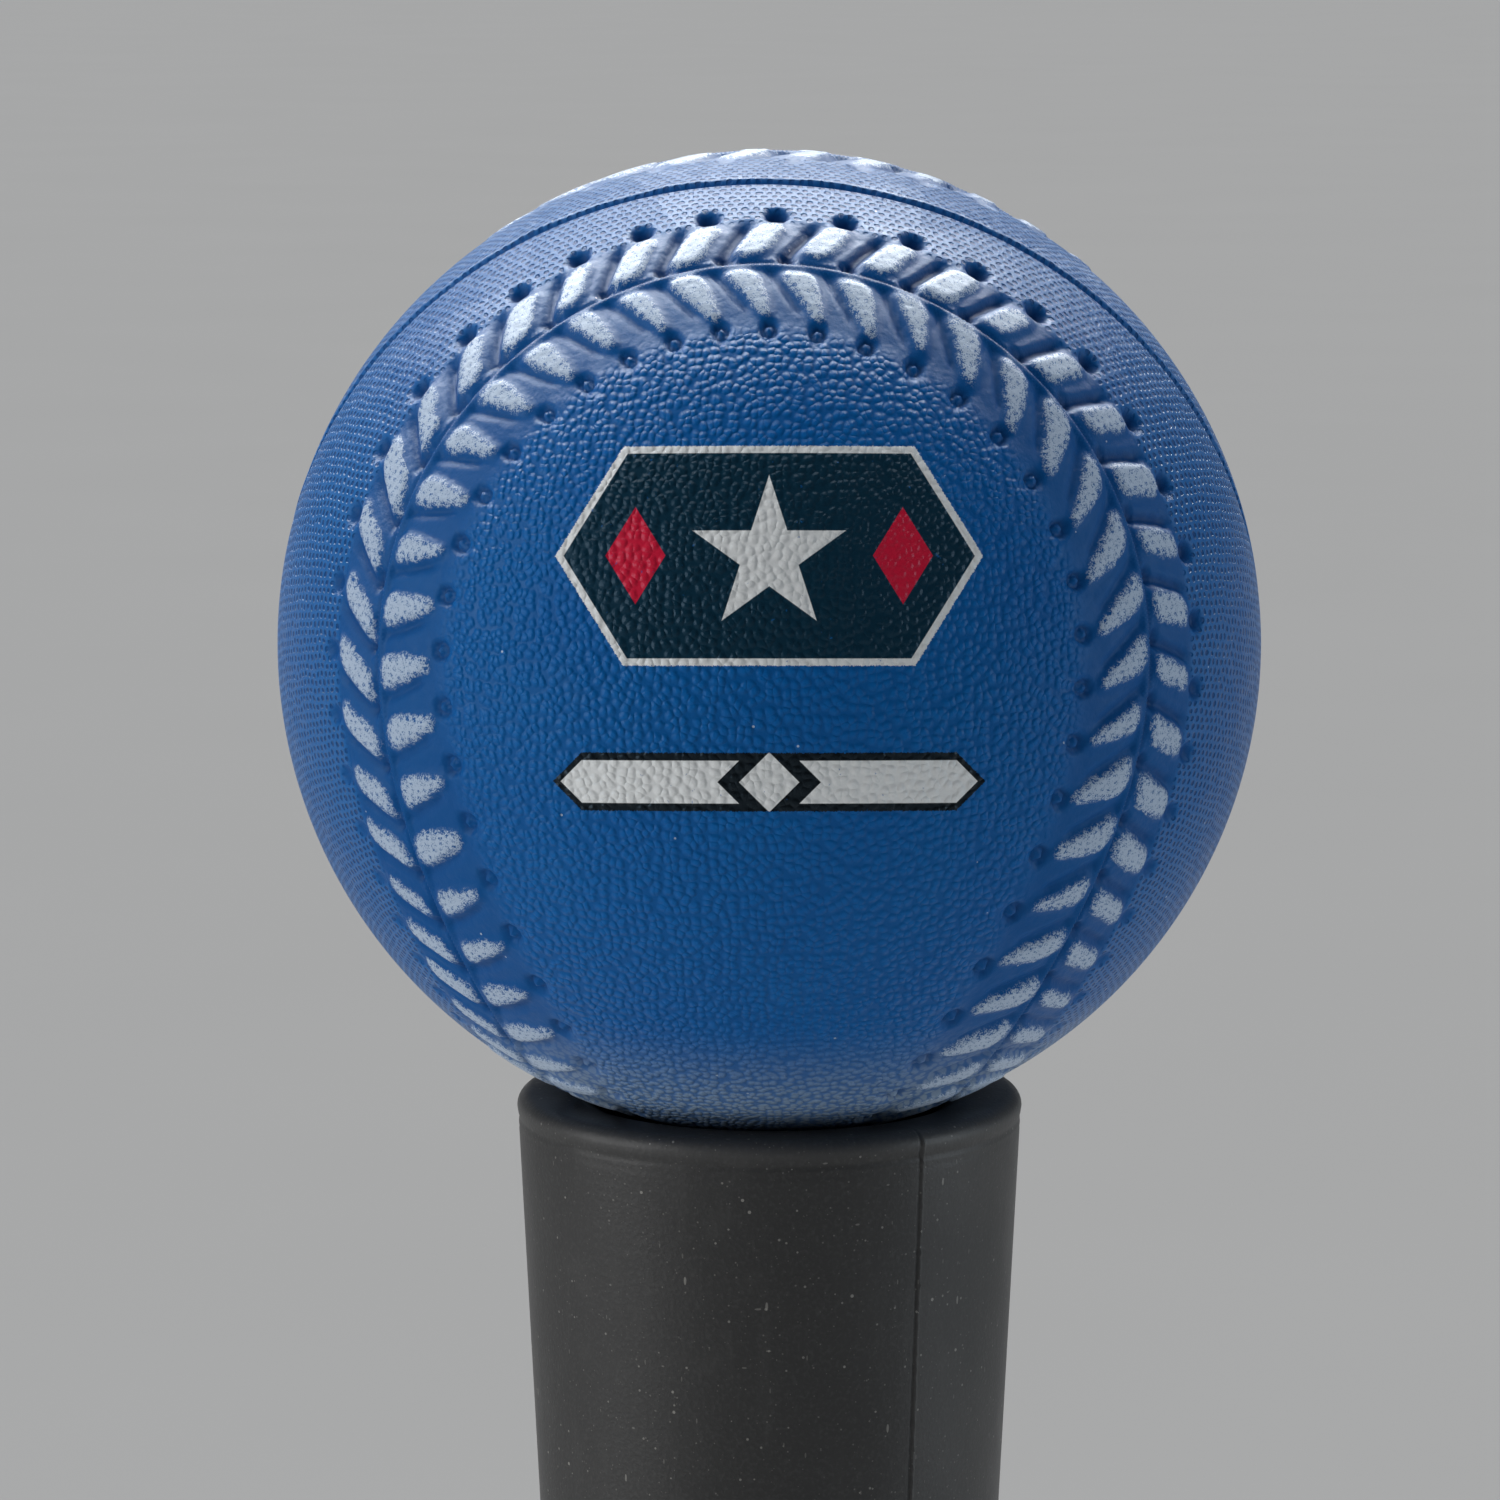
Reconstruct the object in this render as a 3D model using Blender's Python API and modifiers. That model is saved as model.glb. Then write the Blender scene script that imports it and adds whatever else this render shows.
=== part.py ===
"""Batting tee: a home-plate base, a telescopic post with a flip-lock clamp, a flexible rubber top and a ball.

Metres, +Z up. The origin is on the floor, under the middle of the post, and the plate's point is towards -Y.
The post is drawn fully lowered, with the clamp closed and the ball resting on the rubber rim.
"""
import math

import bmesh
import bpy
from mathutils import Matrix, Vector

# Space between two pieces that touch, and how far a cutter runs on past the faces that it cuts.
GAP = 0.0003
OVERCUT = 0.002

# Ball, and the height of its centre above the rim that it rests on.
BALL_RADIUS = 0.037
BALL_ABOVE_RIM = 0.0341

# Rubber top: heights are told as depths below the rim.
RIM_HEIGHT = 0.582
RIM_RADIUS = 0.01915
GRIP_RADIUS = 0.01525
TAPER_DEPTH = 0.080
CUP_DEPTH = 0.044
NECK_END_DEPTH = 0.068
TOP_LENGTH = 0.118
RIM_ROUNDING = 0.0015
CUP_BORE = 0.0132
CUP_BORE_TAPER = 0.006
NECK_BORE = 0.011
SEAT_OUTER = 0.0151
SEAT_OUTER_DEPTH = 0.00001
SEAT_INNER = 0.0136
SEAT_INNER_DEPTH = 0.00068
SEAT_END_DEPTH = 0.0014
BEAD_HEIGHT = 0.0052
BEAD_OUT = 0.001
BEAD_SLOPE = 0.0013
BEAD_EDGE = 0.0008

# Post: outer radii, walls and ends.
LOWER_TUBE_RADIUS = 0.016
LOWER_TUBE_WALL = 0.0016
LOWER_TUBE_TOP = 0.430
UPPER_TUBE_RADIUS = 0.0127
UPPER_TUBE_WALL = 0.0016
UPPER_TUBE_TOP_DEPTH = 0.074
GROOVE_WIDTH = 0.004
GROOVE_DEPTH = 0.0009
GROOVE_EDGE_OUT = 0.002
TRAVEL = 0.300
STOP_CLEARANCE = 0.0005
BUSH_LENGTH = 0.032
BUSH_LIP = 0.003
BUSH_LIP_REACH = 0.0015
BUSH_EDGE = 0.0006
CAP_HEAD = 0.002
CAP_PLUG = 0.015
CAP_EDGE = 0.0008

# Reach of the cutters for the screw holes, out from the post's axis.
HOLE_START = 0.010
HOLE_END = 0.030

# Home-plate base.
PLATE_WIDTH = 0.340
PLATE_THICKNESS = 0.018
PLATE_CORNER = 0.012
PLATE_EDGE_BEVEL = 0.005
PANEL_INSET = 0.017
PANEL_CORNER = 0.007
PANEL_RECESS = 0.002
PANEL_BORE = 0.050
PANEL_EDGE = 0.0004

# Socket that holds the post, and its four bolts.
FLANGE_RADIUS = 0.048
FLANGE_THICKNESS = 0.006
BOSS_RADIUS = 0.0215
BOSS_BASE_RADIUS = 0.0235
BOSS_TOP = 0.070
BOSS_ROUNDING = 0.0015
BOSS_LEAD_IN = 0.0008
FLANGE_ROUNDING = 0.002
SOCKET_FILLET = 0.004
SOCKET_FLOOR = 0.004
RIB_THICKNESS = 0.005
RIB_ROOT = 0.019
RIB_REACH = 0.043
RIB_TOP = 0.048
RIB_TOE = 0.002
BOLT_CIRCLE = 0.036
BOLT_RADIUS = 0.003
BOLT_HEAD_RADIUS = 0.0056
BOLT_HEAD_HEIGHT = 0.0034
BOLT_DOME_RADIUS = 0.0067
BOLT_DRIVE_RADIUS = 0.0021
BOLT_DRIVE_DEPTH = 0.0018
BOLT_CHAMFER = 0.0005
BOLT_END = 0.0015
POCKET_RADIUS = 0.0085
POCKET_DEPTH = 0.009
WASHER_RADIUS = 0.0062
WASHER_THICKNESS = 0.001
WASHER_EDGE = 0.0001
NUT_HEIGHT = 0.005
NUT_RADIUS = 0.00577
SOCKET_SCREW_HEIGHT = 0.058
SOCKET_SCREW_RADIUS = 0.002
SOCKET_SCREW_LENGTH = 0.009
SOCKET_SCREW_STANDOFF = 0.0008

# Pan-head screws: the head's size is told in shank radii, and its crown, shoulder and drive in its own.
PAN_HEAD_WIDTH = 2.1
PAN_HEAD_HEIGHT = 1.2
PAN_CROWN_WIDTH = 0.6
PAN_SHOULDER = 0.45
PAN_DRIVE_WIDTH = 0.45

# Clamp: a split collar over both tubes, with a cam lever on an eye bolt.
COLLAR_BOTTOM = 0.404
COLLAR_TOP = 0.456
COLLAR_RADIUS = 0.020
COLLAR_UPPER_RADIUS = 0.019
COLLAR_WALL_STEP = 0.4326
COLLAR_SHOULDER = 0.002
COLLAR_ROUNDING = 0.0012
COLLAR_SCREW_RADIUS = 0.0016
COLLAR_SCREW_LENGTH = 0.0055
KEY_ROOT = 0.001
LINER_BOTTOM = 0.398
LINER_FLANGE = 0.002
SLIT_WIDTH = 0.003
SLIT_START = 0.010
SLIT_END = 0.040
EAR_ROOT = 0.0025
EAR_OUT = 0.031
EAR_ROUNDING = 0.0035
EAR_HALF_WIDTH = 0.007
EAR_BOTTOM = 0.4345
EAR_TOP = 0.4535
CLAMP_BOLT_OUT = 0.0255
CLAMP_BOLT_RADIUS = 0.0025
CLAMP_BOLT_END = 0.002
CLAMP_BOLT_HOLE_REACH = 0.020
CLAMP_NUT_HEIGHT = 0.0045
CLAMP_NUT_RADIUS = 0.0046
SADDLE_THICKNESS = 0.0016
SADDLE_INWARD = 0.0058
SADDLE_OUTWARD = 0.0052
SADDLE_HALF_HEIGHT = 0.008
SADDLE_CORNER = 0.0015
CAM_RADIUS = 0.0055
CAM_OFFSET = 0.0007
EYE_RADIUS = 0.0046
EYE_HEIGHT = 0.006
EYE_WALL_SHARE = 0.0014
FORK_GAP = 0.007
FORK_REACH = 0.0075
PIN_RADIUS = 0.002
PIN_EDGE = 0.0004
LEVER_THICKNESS = 0.004
LEVER_TIP_HALF = 0.00144
LEVER_RADIUS = 0.0235
LEVER_WRAP_END = math.radians(-150)
LEVER_WRAP_STEPS = 12
LEVER_TAB = 0.011
LEVER_TAB_OUT = 0.0025
LEVER_INSET = 0.0005
LEVER_EDGE = 0.0006

# Facets around a turned piece, and around a small fastener.
TURN_STEPS = 36
RIM_STEPS = 48
SMALL_STEPS = 14
BALL_RINGS = 20
SHARP_ANGLE = math.radians(35)
BEVEL_ANGLE = math.radians(40)
TUBE_EDGE = 0.0003
WELD_DISTANCE = 0.000001
TURN_WELD_DISTANCE = 0.00001

# Heights and places that follow from the dimensions above.
recess_floor = PLATE_THICKNESS - PANEL_RECESS
flange_bottom = recess_floor + GAP
flange_top = flange_bottom + FLANGE_THICKNESS
lower_tube_bottom = flange_bottom + SOCKET_FLOOR + GAP
lower_bore = LOWER_TUBE_RADIUS - LOWER_TUBE_WALL
upper_bore = UPPER_TUBE_RADIUS - UPPER_TUBE_WALL
bush_bottom = LINER_BOTTOM - STOP_CLEARANCE - TRAVEL - BUSH_LENGTH
upper_tube_bottom = bush_bottom + BUSH_LIP + GAP
upper_tube_top = RIM_HEIGHT - UPPER_TUBE_TOP_DEPTH
clamp_bolt_height = (EAR_BOTTOM + EAR_TOP) / 2
collar_screw_height = (COLLAR_BOTTOM + EAR_BOTTOM) / 2
saddle_face = EAR_HALF_WIDTH + GAP + SADDLE_THICKNESS
pin_place = Vector((CLAMP_BOLT_OUT, -(saddle_face + GAP + CAM_RADIUS + CAM_OFFSET), clamp_bolt_height))
flex_height = RIM_HEIGHT - (CUP_DEPTH + NECK_END_DEPTH) / 2
ball_centre = Vector((0, 0, RIM_HEIGHT + BALL_ABOVE_RIM))


def clear_scene():
    """Empties the scene and makes the two collections: the tee's pieces, and the shapes that cut them."""
    for item in list(bpy.data.objects):
        bpy.data.objects.remove(item, do_unlink=True)
    for name in ("batting_tee", "cutters"):
        collection = bpy.data.collections.new(name)
        bpy.context.scene.collection.children.link(collection)


def material(name, colour, roughness, metallic=0.0):
    """A Principled material of one colour."""
    made = bpy.data.materials.new(name)
    made.use_nodes = True
    shader = made.node_tree.nodes["Principled BSDF"]
    shader.inputs["Base Color"].default_value = (*colour, 1)
    shader.inputs["Roughness"].default_value = roughness
    shader.inputs["Metallic"].default_value = metallic
    made.diffuse_color = (*colour, 1)
    return made


def place(name, mesh, finish, collection="batting_tee"):
    """Puts a mesh in the scene as a named object. Cutters have no finish."""
    item = bpy.data.objects.new(name, mesh)
    bpy.data.collections[collection].objects.link(item)
    if finish:
        mesh.materials.append(finish)
    else:
        item.hide_render = True
        item.display_type = "WIRE"
    return item


def settle(item):
    """Applies the object's modifiers, welds its seams, and shades it smooth between sharp edges."""
    depsgraph = bpy.context.evaluated_depsgraph_get()
    mesh = bpy.data.meshes.new_from_object(item.evaluated_get(depsgraph))
    mesh.name = item.name
    shape = bmesh.new()
    shape.from_mesh(mesh)
    bmesh.ops.remove_doubles(shape, verts=shape.verts, dist=WELD_DISTANCE)
    bmesh.ops.recalc_face_normals(shape, faces=shape.faces)
    shape.to_mesh(mesh)
    shape.free()
    mesh.shade_smooth()
    mesh.set_sharp_from_angle(angle=SHARP_ANGLE)
    item.modifiers.clear()
    item.data = mesh
    return item


def turned(name, profile, finish, ring=False, steps=TURN_STEPS):
    """Turns a profile of (radius, height) points about Z. It runs down its outer side; a ring's is closed."""
    edges = [(start, start + 1) for start in range(len(profile) - 1)]
    if ring:
        edges.append((len(profile) - 1, 0))
    mesh = bpy.data.meshes.new(name)
    mesh.from_pydata([(radius, 0, height) for radius, height in profile], edges, [])
    item = place(name, mesh, finish, "batting_tee" if finish else "cutters")
    screw = item.modifiers.new("turn", "SCREW")
    screw.steps = screw.render_steps = steps
    screw.use_merge_vertices = True
    screw.merge_threshold = TURN_WELD_DISTANCE
    return settle(item)


def arc(centre, radius, start, end, steps):
    """Points of an arc about centre, from the start angle to the end angle in degrees."""
    angles = [math.radians(start + (end - start) * step / steps) for step in range(steps + 1)]
    return [(centre[0] + radius * math.cos(turn), centre[1] + radius * math.sin(turn)) for turn in angles]


def rod(radius, low, high):
    """The profile of a solid cylinder between two heights."""
    return [(0, high), (radius, high), (radius, low), (0, low)]


def tube(outer, inner, low, high, edge=TUBE_EDGE):
    """The closed profile of a tube with its outer edges broken."""
    return [(outer - edge, high), (outer, high - edge), (outer, low + edge), (outer - edge, low),
            (inner, low), (inner, high)]


def prism(name, outlines, low, high, finish):
    """Flat outlines, with any holes, standing between two heights, as one welded mesh."""
    curve = bpy.data.curves.new(name, "CURVE")
    curve.dimensions = "2D"
    curve.fill_mode = "BOTH"
    curve.extrude = (high - low) / 2
    for outline in outlines:
        spline = curve.splines.new("POLY")
        spline.points.add(len(outline) - 1)
        for point, (x, y) in zip(spline.points, outline):
            point.co = (x, y, 0, 1)
        spline.use_cyclic_u = True
    guide = bpy.data.objects.new(name + "_outline", curve)
    bpy.context.scene.collection.objects.link(guide)
    guide.location.z = (low + high) / 2
    depsgraph = bpy.context.evaluated_depsgraph_get()
    mesh = bpy.data.meshes.new_from_object(guide.evaluated_get(depsgraph))
    mesh.transform(Matrix.Translation(guide.location))
    bpy.data.objects.remove(guide, do_unlink=True)
    item = place(name, mesh, finish, "batting_tee" if finish else "cutters")
    return settle(item)


def box(name, size, centre):
    """A box that cuts or joins: its full size and its middle."""
    shape = bmesh.new()
    bmesh.ops.create_cube(shape, size=1, matrix=Matrix.Translation(centre) @ Matrix.Diagonal((*size, 1)))
    mesh = bpy.data.meshes.new(name)
    shape.to_mesh(mesh)
    shape.free()
    return place(name, mesh, None, "cutters")


def combine(item, other, operation="DIFFERENCE"):
    """Cuts the other shape from the item, or joins it with operation UNION."""
    change = item.modifiers.new(other.name, "BOOLEAN")
    change.operation = operation
    change.solver = "EXACT"
    change.object = other


def bevel(item, width):
    """Breaks every sharp edge of the item."""
    rounding = item.modifiers.new("edges", "BEVEL")
    rounding.width = width
    rounding.limit_method = "ANGLE"
    rounding.angle_limit = BEVEL_ANGLE
    rounding.use_clamp_overlap = True


def cross_cutter(name, radius, start, end, centre, turn):
    """A cylinder across the post: it runs from start to end along the turned Z axis, through centre."""
    item = turned(name, rod(radius, start, end), None, steps=SMALL_STEPS)
    item.data.transform(Matrix.Translation(centre) @ turn.to_4x4())
    return item


def along(axis):
    """The rotation that lays the Z axis along the given direction."""
    return Vector(axis).to_track_quat("Z", "Y").to_matrix()


def rounded(corners, radius, steps=4):
    """An outline with each corner replaced by an arc of the given radius."""
    points = []
    for index, corner in enumerate(corners):
        here = Vector(corner)
        before = (Vector(corners[index - 1]) - here).normalized()
        after = (Vector(corners[(index + 1) % len(corners)]) - here).normalized()
        half = before.angle(after) / 2
        middle = here + (before + after).normalized() * (radius / math.sin(half))
        start = here + before * (radius / math.tan(half)) - middle
        end = here + after * (radius / math.tan(half)) - middle
        sweep = start.angle_signed(end)
        for step in range(steps + 1):
            spoke = start.copy()
            spoke.rotate(Matrix.Rotation(-sweep * step / steps, 2))
            points.append(tuple(middle + spoke))
    return points


def plate_corners(inset):
    """The five corners of a home plate, drawn in from the edge by inset. Its rounded point is as far out in
    -Y as its straight edge is in +Y, so the post stands in the middle."""
    half = PLATE_WIDTH / 2
    tip_loss = PLATE_CORNER * (math.sqrt(2) - 1)
    shoulder = inset * (math.sqrt(2) - 1) - tip_loss
    return [(-half + inset, half - inset), (-half + inset, shoulder),
            (0, -half - tip_loss + inset * math.sqrt(2)),
            (half - inset, shoulder), (half - inset, half - inset)]


def bolt_places():
    """The four bolts' places, between the socket's ribs."""
    angles = [math.radians(45 + 90 * turn) for turn in range(4)]
    return [Vector((BOLT_CIRCLE * math.cos(angle), BOLT_CIRCLE * math.sin(angle), 0)) for angle in angles]


def base_plate(finish):
    """The heavy rubber slab: a bevelled top edge, the panel's recess and four bolt holes with nut pockets."""
    slab = prism("base_plate", [rounded(plate_corners(0), PLATE_CORNER)], 0, PLATE_THICKNESS, finish)
    shape = bmesh.new()
    shape.from_mesh(slab.data)
    weight = shape.edges.layers.float.new("bevel_weight_edge")
    for edge in shape.edges:
        if all(vert.co.z > PLATE_THICKNESS - GAP for vert in edge.verts):
            edge[weight] = 1
    shape.to_mesh(slab.data)
    shape.free()
    slope = slab.modifiers.new("top_edge", "BEVEL")
    slope.limit_method = "WEIGHT"
    slope.width = PLATE_EDGE_BEVEL
    slope.segments = 2
    settle(slab)
    recess = prism("panel_recess", [rounded(plate_corners(PANEL_INSET), PANEL_CORNER)],
                   recess_floor, PLATE_THICKNESS + OVERCUT, None)
    combine(slab, recess)
    for number, spot in enumerate(bolt_places(), 1):
        hole = BOLT_RADIUS + GAP
        pocket = [(0, PLATE_THICKNESS), (hole, PLATE_THICKNESS), (hole, POCKET_DEPTH),
                  (POCKET_RADIUS, POCKET_DEPTH), (POCKET_RADIUS, -OVERCUT), (0, -OVERCUT)]
        cutter = turned(f"bolt_pocket_{number}", pocket, None, steps=SMALL_STEPS)
        cutter.location = spot
        combine(slab, cutter)


def plate_panel(finish):
    """The white panel that lies in the slab's recess, open in the middle for the socket."""
    edge = rounded(plate_corners(PANEL_INSET + GAP), PANEL_CORNER)
    hole = arc((0, 0), PANEL_BORE, 0, 360 - 360 / TURN_STEPS, TURN_STEPS - 1)
    panel = prism("plate_panel", [edge, hole], flange_bottom, PLATE_THICKNESS + GAP, finish)
    bevel(panel, PANEL_EDGE)


def pole_socket(finish):
    """The moulded socket: a round flange, a boss around the lower tube, four ribs and the bolt holes."""
    floor = flange_bottom + SOCKET_FLOOR
    bore = LOWER_TUBE_RADIUS + GAP
    profile = [(0, floor), (bore, floor), (bore, BOSS_TOP - BOSS_LEAD_IN), (bore + BOSS_LEAD_IN, BOSS_TOP)]
    profile += arc((BOSS_RADIUS - BOSS_ROUNDING, BOSS_TOP - BOSS_ROUNDING), BOSS_ROUNDING, 90, 0, 3)
    profile += arc((BOSS_BASE_RADIUS + SOCKET_FILLET, flange_top + SOCKET_FILLET), SOCKET_FILLET, 180, 270, 4)
    profile += arc((FLANGE_RADIUS - FLANGE_ROUNDING, flange_top - FLANGE_ROUNDING), FLANGE_ROUNDING, 90, 0, 3)
    profile += [(FLANGE_RADIUS, flange_bottom), (0, flange_bottom)]
    socket = turned("pole_socket", profile, finish)
    rib_size = (RIB_REACH - RIB_ROOT, RIB_THICKNESS, RIB_TOP - flange_bottom)
    rib_middle = ((RIB_REACH + RIB_ROOT) / 2, 0, (RIB_TOP + flange_bottom) / 2)
    for turn in range(4):
        rib = box(f"socket_rib_{turn + 1}", rib_size, rib_middle)
        for vert in rib.data.vertices:
            if vert.co.x > RIB_REACH - GAP and vert.co.z > flange_top:
                vert.co.z = flange_top + RIB_TOE
        rib.rotation_euler.z = math.radians(90 * turn)
        combine(socket, rib, "UNION")
    for number, spot in enumerate(bolt_places(), 1):
        hole = turned(f"flange_hole_{number}", rod(BOLT_RADIUS + GAP, 0, BOSS_TOP), None, steps=SMALL_STEPS)
        hole.location = spot
        combine(socket, hole)
    combine(socket, socket_screw_hole())


def socket_screw_hole():
    """The cutter for the screw that goes through the boss and the lower tube, at the back."""
    if "socket_screw_hole" in bpy.data.objects:
        return bpy.data.objects["socket_screw_hole"]
    centre = (0, 0, SOCKET_SCREW_HEIGHT)
    return cross_cutter("socket_screw_hole", SOCKET_SCREW_RADIUS + GAP, HOLE_START, HOLE_END, centre,
                        along((0, 1, 0)))


def collar_screw_hole():
    """The cutter for the screw that holds the collar on the lower tube, on the -X side."""
    if "collar_screw_hole" in bpy.data.objects:
        return bpy.data.objects["collar_screw_hole"]
    centre = (0, 0, collar_screw_height)
    return cross_cutter("collar_screw_hole", COLLAR_SCREW_RADIUS + GAP, HOLE_START, HOLE_END, centre,
                        along((-1, 0, 0)))


def hex_socket(name, radius, low, high):
    """A six-sided cutter for a screw's drive."""
    return turned(name, rod(radius, low, high), None, steps=6)


def button_bolt():
    """A button-head bolt's profile: its head's underside is at z = 0 and its shank hangs below."""
    length = flange_top + GAP - BOLT_END
    dome_end = math.degrees(math.acos(BOLT_HEAD_RADIUS / BOLT_DOME_RADIUS))
    dome = arc((0, BOLT_HEAD_HEIGHT - BOLT_DOME_RADIUS), BOLT_DOME_RADIUS, 90, dome_end, 5)
    return dome + [(BOLT_HEAD_RADIUS, 0), (BOLT_RADIUS, 0), (BOLT_RADIUS, BOLT_CHAMFER - length),
                   (BOLT_RADIUS - BOLT_CHAMFER, -length), (0, -length)]


def base_fasteners(steel):
    """Four bolts, with a washer and a nut for each in its pocket under the slab."""
    bolt = turned("base_bolt_1", button_bolt(), steel, steps=SMALL_STEPS)
    combine(bolt, hex_socket("bolt_drive", BOLT_DRIVE_RADIUS, BOLT_HEAD_HEIGHT - BOLT_DRIVE_DEPTH,
                             BOLT_HEAD_HEIGHT + OVERCUT))
    settle(bolt)
    washer_top = POCKET_DEPTH - GAP
    washer = turned("base_washer_1", tube(WASHER_RADIUS, BOLT_RADIUS + GAP, washer_top - WASHER_THICKNESS,
                                          washer_top, WASHER_EDGE), steel, ring=True, steps=SMALL_STEPS)
    nut_top = washer_top - WASHER_THICKNESS - GAP
    nut = turned("base_nut_1", rod(NUT_RADIUS, nut_top - NUT_HEIGHT, nut_top), steel, steps=6)
    combine(nut, turned("nut_bore", rod(BOLT_RADIUS + GAP, 0, POCKET_DEPTH), None, steps=SMALL_STEPS))
    settle(nut)
    for first, height in ((bolt, flange_top + GAP), (washer, 0), (nut, 0)):
        for number, spot in enumerate(bolt_places(), 1):
            copy = first if number == 1 else bpy.data.objects.new(first.name[:-1] + str(number), first.data)
            if number > 1:
                bpy.data.collections["batting_tee"].objects.link(copy)
            copy.location = spot + Vector((0, 0, height))


def pan_screw(name, radius, length, seat, direction, finish):
    """A pan-head screw lying along direction: its head's underside is at seat and its shank runs inwards."""
    head_radius, head_height = radius * PAN_HEAD_WIDTH, radius * PAN_HEAD_HEIGHT
    crown, shoulder = head_radius * PAN_CROWN_WIDTH, head_height * PAN_SHOULDER
    profile = [(0, head_height), (crown, head_height), (head_radius, shoulder), (head_radius, 0), (radius, 0),
               (radius, -length + radius / 2), (radius / 2, -length), (0, -length)]
    screw = turned(name, profile, finish, steps=SMALL_STEPS)
    drive = hex_socket(name + "_drive", head_radius * PAN_DRIVE_WIDTH, shoulder, head_height + OVERCUT)
    combine(screw, drive)
    settle(screw)
    screw.location = seat
    screw.rotation_euler = along(direction).to_euler()


def lower_tube(finish):
    """The fixed outer tube, from the socket's floor up into the collar."""
    outer = turned("lower_tube", tube(LOWER_TUBE_RADIUS, lower_bore, lower_tube_bottom, LOWER_TUBE_TOP),
                   finish, ring=True)
    combine(outer, socket_screw_hole())
    combine(outer, collar_screw_hole())


def collar_liner(finish):
    """The liner in the lower tube's mouth. It guides the upper tube and stops the bush at full height."""
    flange_low = LOWER_TUBE_TOP + GAP
    profile = [(LOWER_TUBE_RADIUS, flange_low + LINER_FLANGE), (LOWER_TUBE_RADIUS, flange_low),
               (lower_bore - GAP, flange_low), (lower_bore - GAP, LINER_BOTTOM),
               (UPPER_TUBE_RADIUS + GAP, LINER_BOTTOM), (UPPER_TUBE_RADIUS + GAP, flange_low + LINER_FLANGE)]
    turned("collar_liner", profile, finish, ring=True)


def clamp_body(finish):
    """The split collar: a skirt over the lower tube, a bore on the upper tube with a key, and two ears."""
    profile = arc((COLLAR_UPPER_RADIUS - COLLAR_ROUNDING, COLLAR_TOP - COLLAR_ROUNDING), COLLAR_ROUNDING,
                  90, 0, 3)
    profile += [(COLLAR_UPPER_RADIUS, COLLAR_WALL_STEP), (COLLAR_RADIUS, COLLAR_WALL_STEP - COLLAR_SHOULDER)]
    profile += arc((COLLAR_RADIUS - COLLAR_ROUNDING, COLLAR_BOTTOM + COLLAR_ROUNDING), COLLAR_ROUNDING,
                   0, -90, 3)
    profile += [(LOWER_TUBE_RADIUS + GAP, COLLAR_BOTTOM), (LOWER_TUBE_RADIUS + GAP, COLLAR_WALL_STEP),
                (UPPER_TUBE_RADIUS + GAP, COLLAR_WALL_STEP), (UPPER_TUBE_RADIUS + GAP, COLLAR_TOP)]
    collar = turned("clamp_body", profile, finish, ring=True)
    ear_root = UPPER_TUBE_RADIUS + EAR_ROOT
    ear_corner = EAR_HALF_WIDTH - EAR_ROUNDING
    ear_outline = [(ear_root, EAR_HALF_WIDTH), (ear_root, -EAR_HALF_WIDTH)]
    ear_outline += arc((EAR_OUT - EAR_ROUNDING, -ear_corner), EAR_ROUNDING, -90, 0, 4)
    ear_outline += arc((EAR_OUT - EAR_ROUNDING, ear_corner), EAR_ROUNDING, 0, 90, 4)[1:]
    combine(collar, prism("clamp_ears", [ear_outline], EAR_BOTTOM, EAR_TOP, None), "UNION")
    key_tip = UPPER_TUBE_RADIUS + GAP - GROOVE_DEPTH
    key_length = GROOVE_DEPTH + KEY_ROOT
    key_size = (key_length, GROOVE_WIDTH - 2 * GAP, COLLAR_TOP - COLLAR_WALL_STEP - COLLAR_SHOULDER)
    key = box("clamp_key", key_size, (-(key_tip + key_length / 2), 0, (COLLAR_TOP + COLLAR_WALL_STEP) / 2))
    combine(collar, key, "UNION")
    slit_height = COLLAR_TOP - COLLAR_BOTTOM + 2 * OVERCUT
    combine(collar, box("clamp_slit", (SLIT_END - SLIT_START, SLIT_WIDTH, slit_height),
                        ((SLIT_START + SLIT_END) / 2, 0, (COLLAR_TOP + COLLAR_BOTTOM) / 2)))
    combine(collar, cross_cutter("clamp_bolt_hole", CLAMP_BOLT_RADIUS + GAP, -CLAMP_BOLT_HOLE_REACH,
                                 CLAMP_BOLT_HOLE_REACH, (CLAMP_BOLT_OUT, 0, clamp_bolt_height),
                                 along((0, 1, 0))))
    combine(collar, collar_screw_hole())


def clamp_bolt(finish):
    """The eye bolt across the ears: an upright eye around the lever's pin, and a shank to the nut."""
    eye = turned("clamp_bolt", tube(EYE_RADIUS, PIN_RADIUS + GAP, -EYE_HEIGHT / 2, EYE_HEIGHT / 2),
                 finish, ring=True, steps=SMALL_STEPS)
    eye.location = pin_place
    start = PIN_RADIUS + EYE_WALL_SHARE
    end = -pin_place.y + EAR_HALF_WIDTH + GAP + CLAMP_NUT_HEIGHT + CLAMP_BOLT_END
    shank = cross_cutter("clamp_bolt_shank", CLAMP_BOLT_RADIUS, start, end, pin_place, along((0, 1, 0)))
    combine(eye, shank, "UNION")


def clamp_nut(finish):
    """The hexagonal nut on the eye bolt's far end."""
    nut = turned("clamp_nut", rod(CLAMP_NUT_RADIUS, 0, CLAMP_NUT_HEIGHT), finish, steps=6)
    bore = rod(CLAMP_BOLT_RADIUS + GAP, -OVERCUT, CLAMP_NUT_HEIGHT + OVERCUT)
    combine(nut, turned("clamp_nut_bore", bore, None, steps=SMALL_STEPS))
    settle(nut)
    nut.location = (CLAMP_BOLT_OUT, EAR_HALF_WIDTH + GAP, clamp_bolt_height)
    nut.rotation_euler = along((0, 1, 0)).to_euler()


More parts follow.
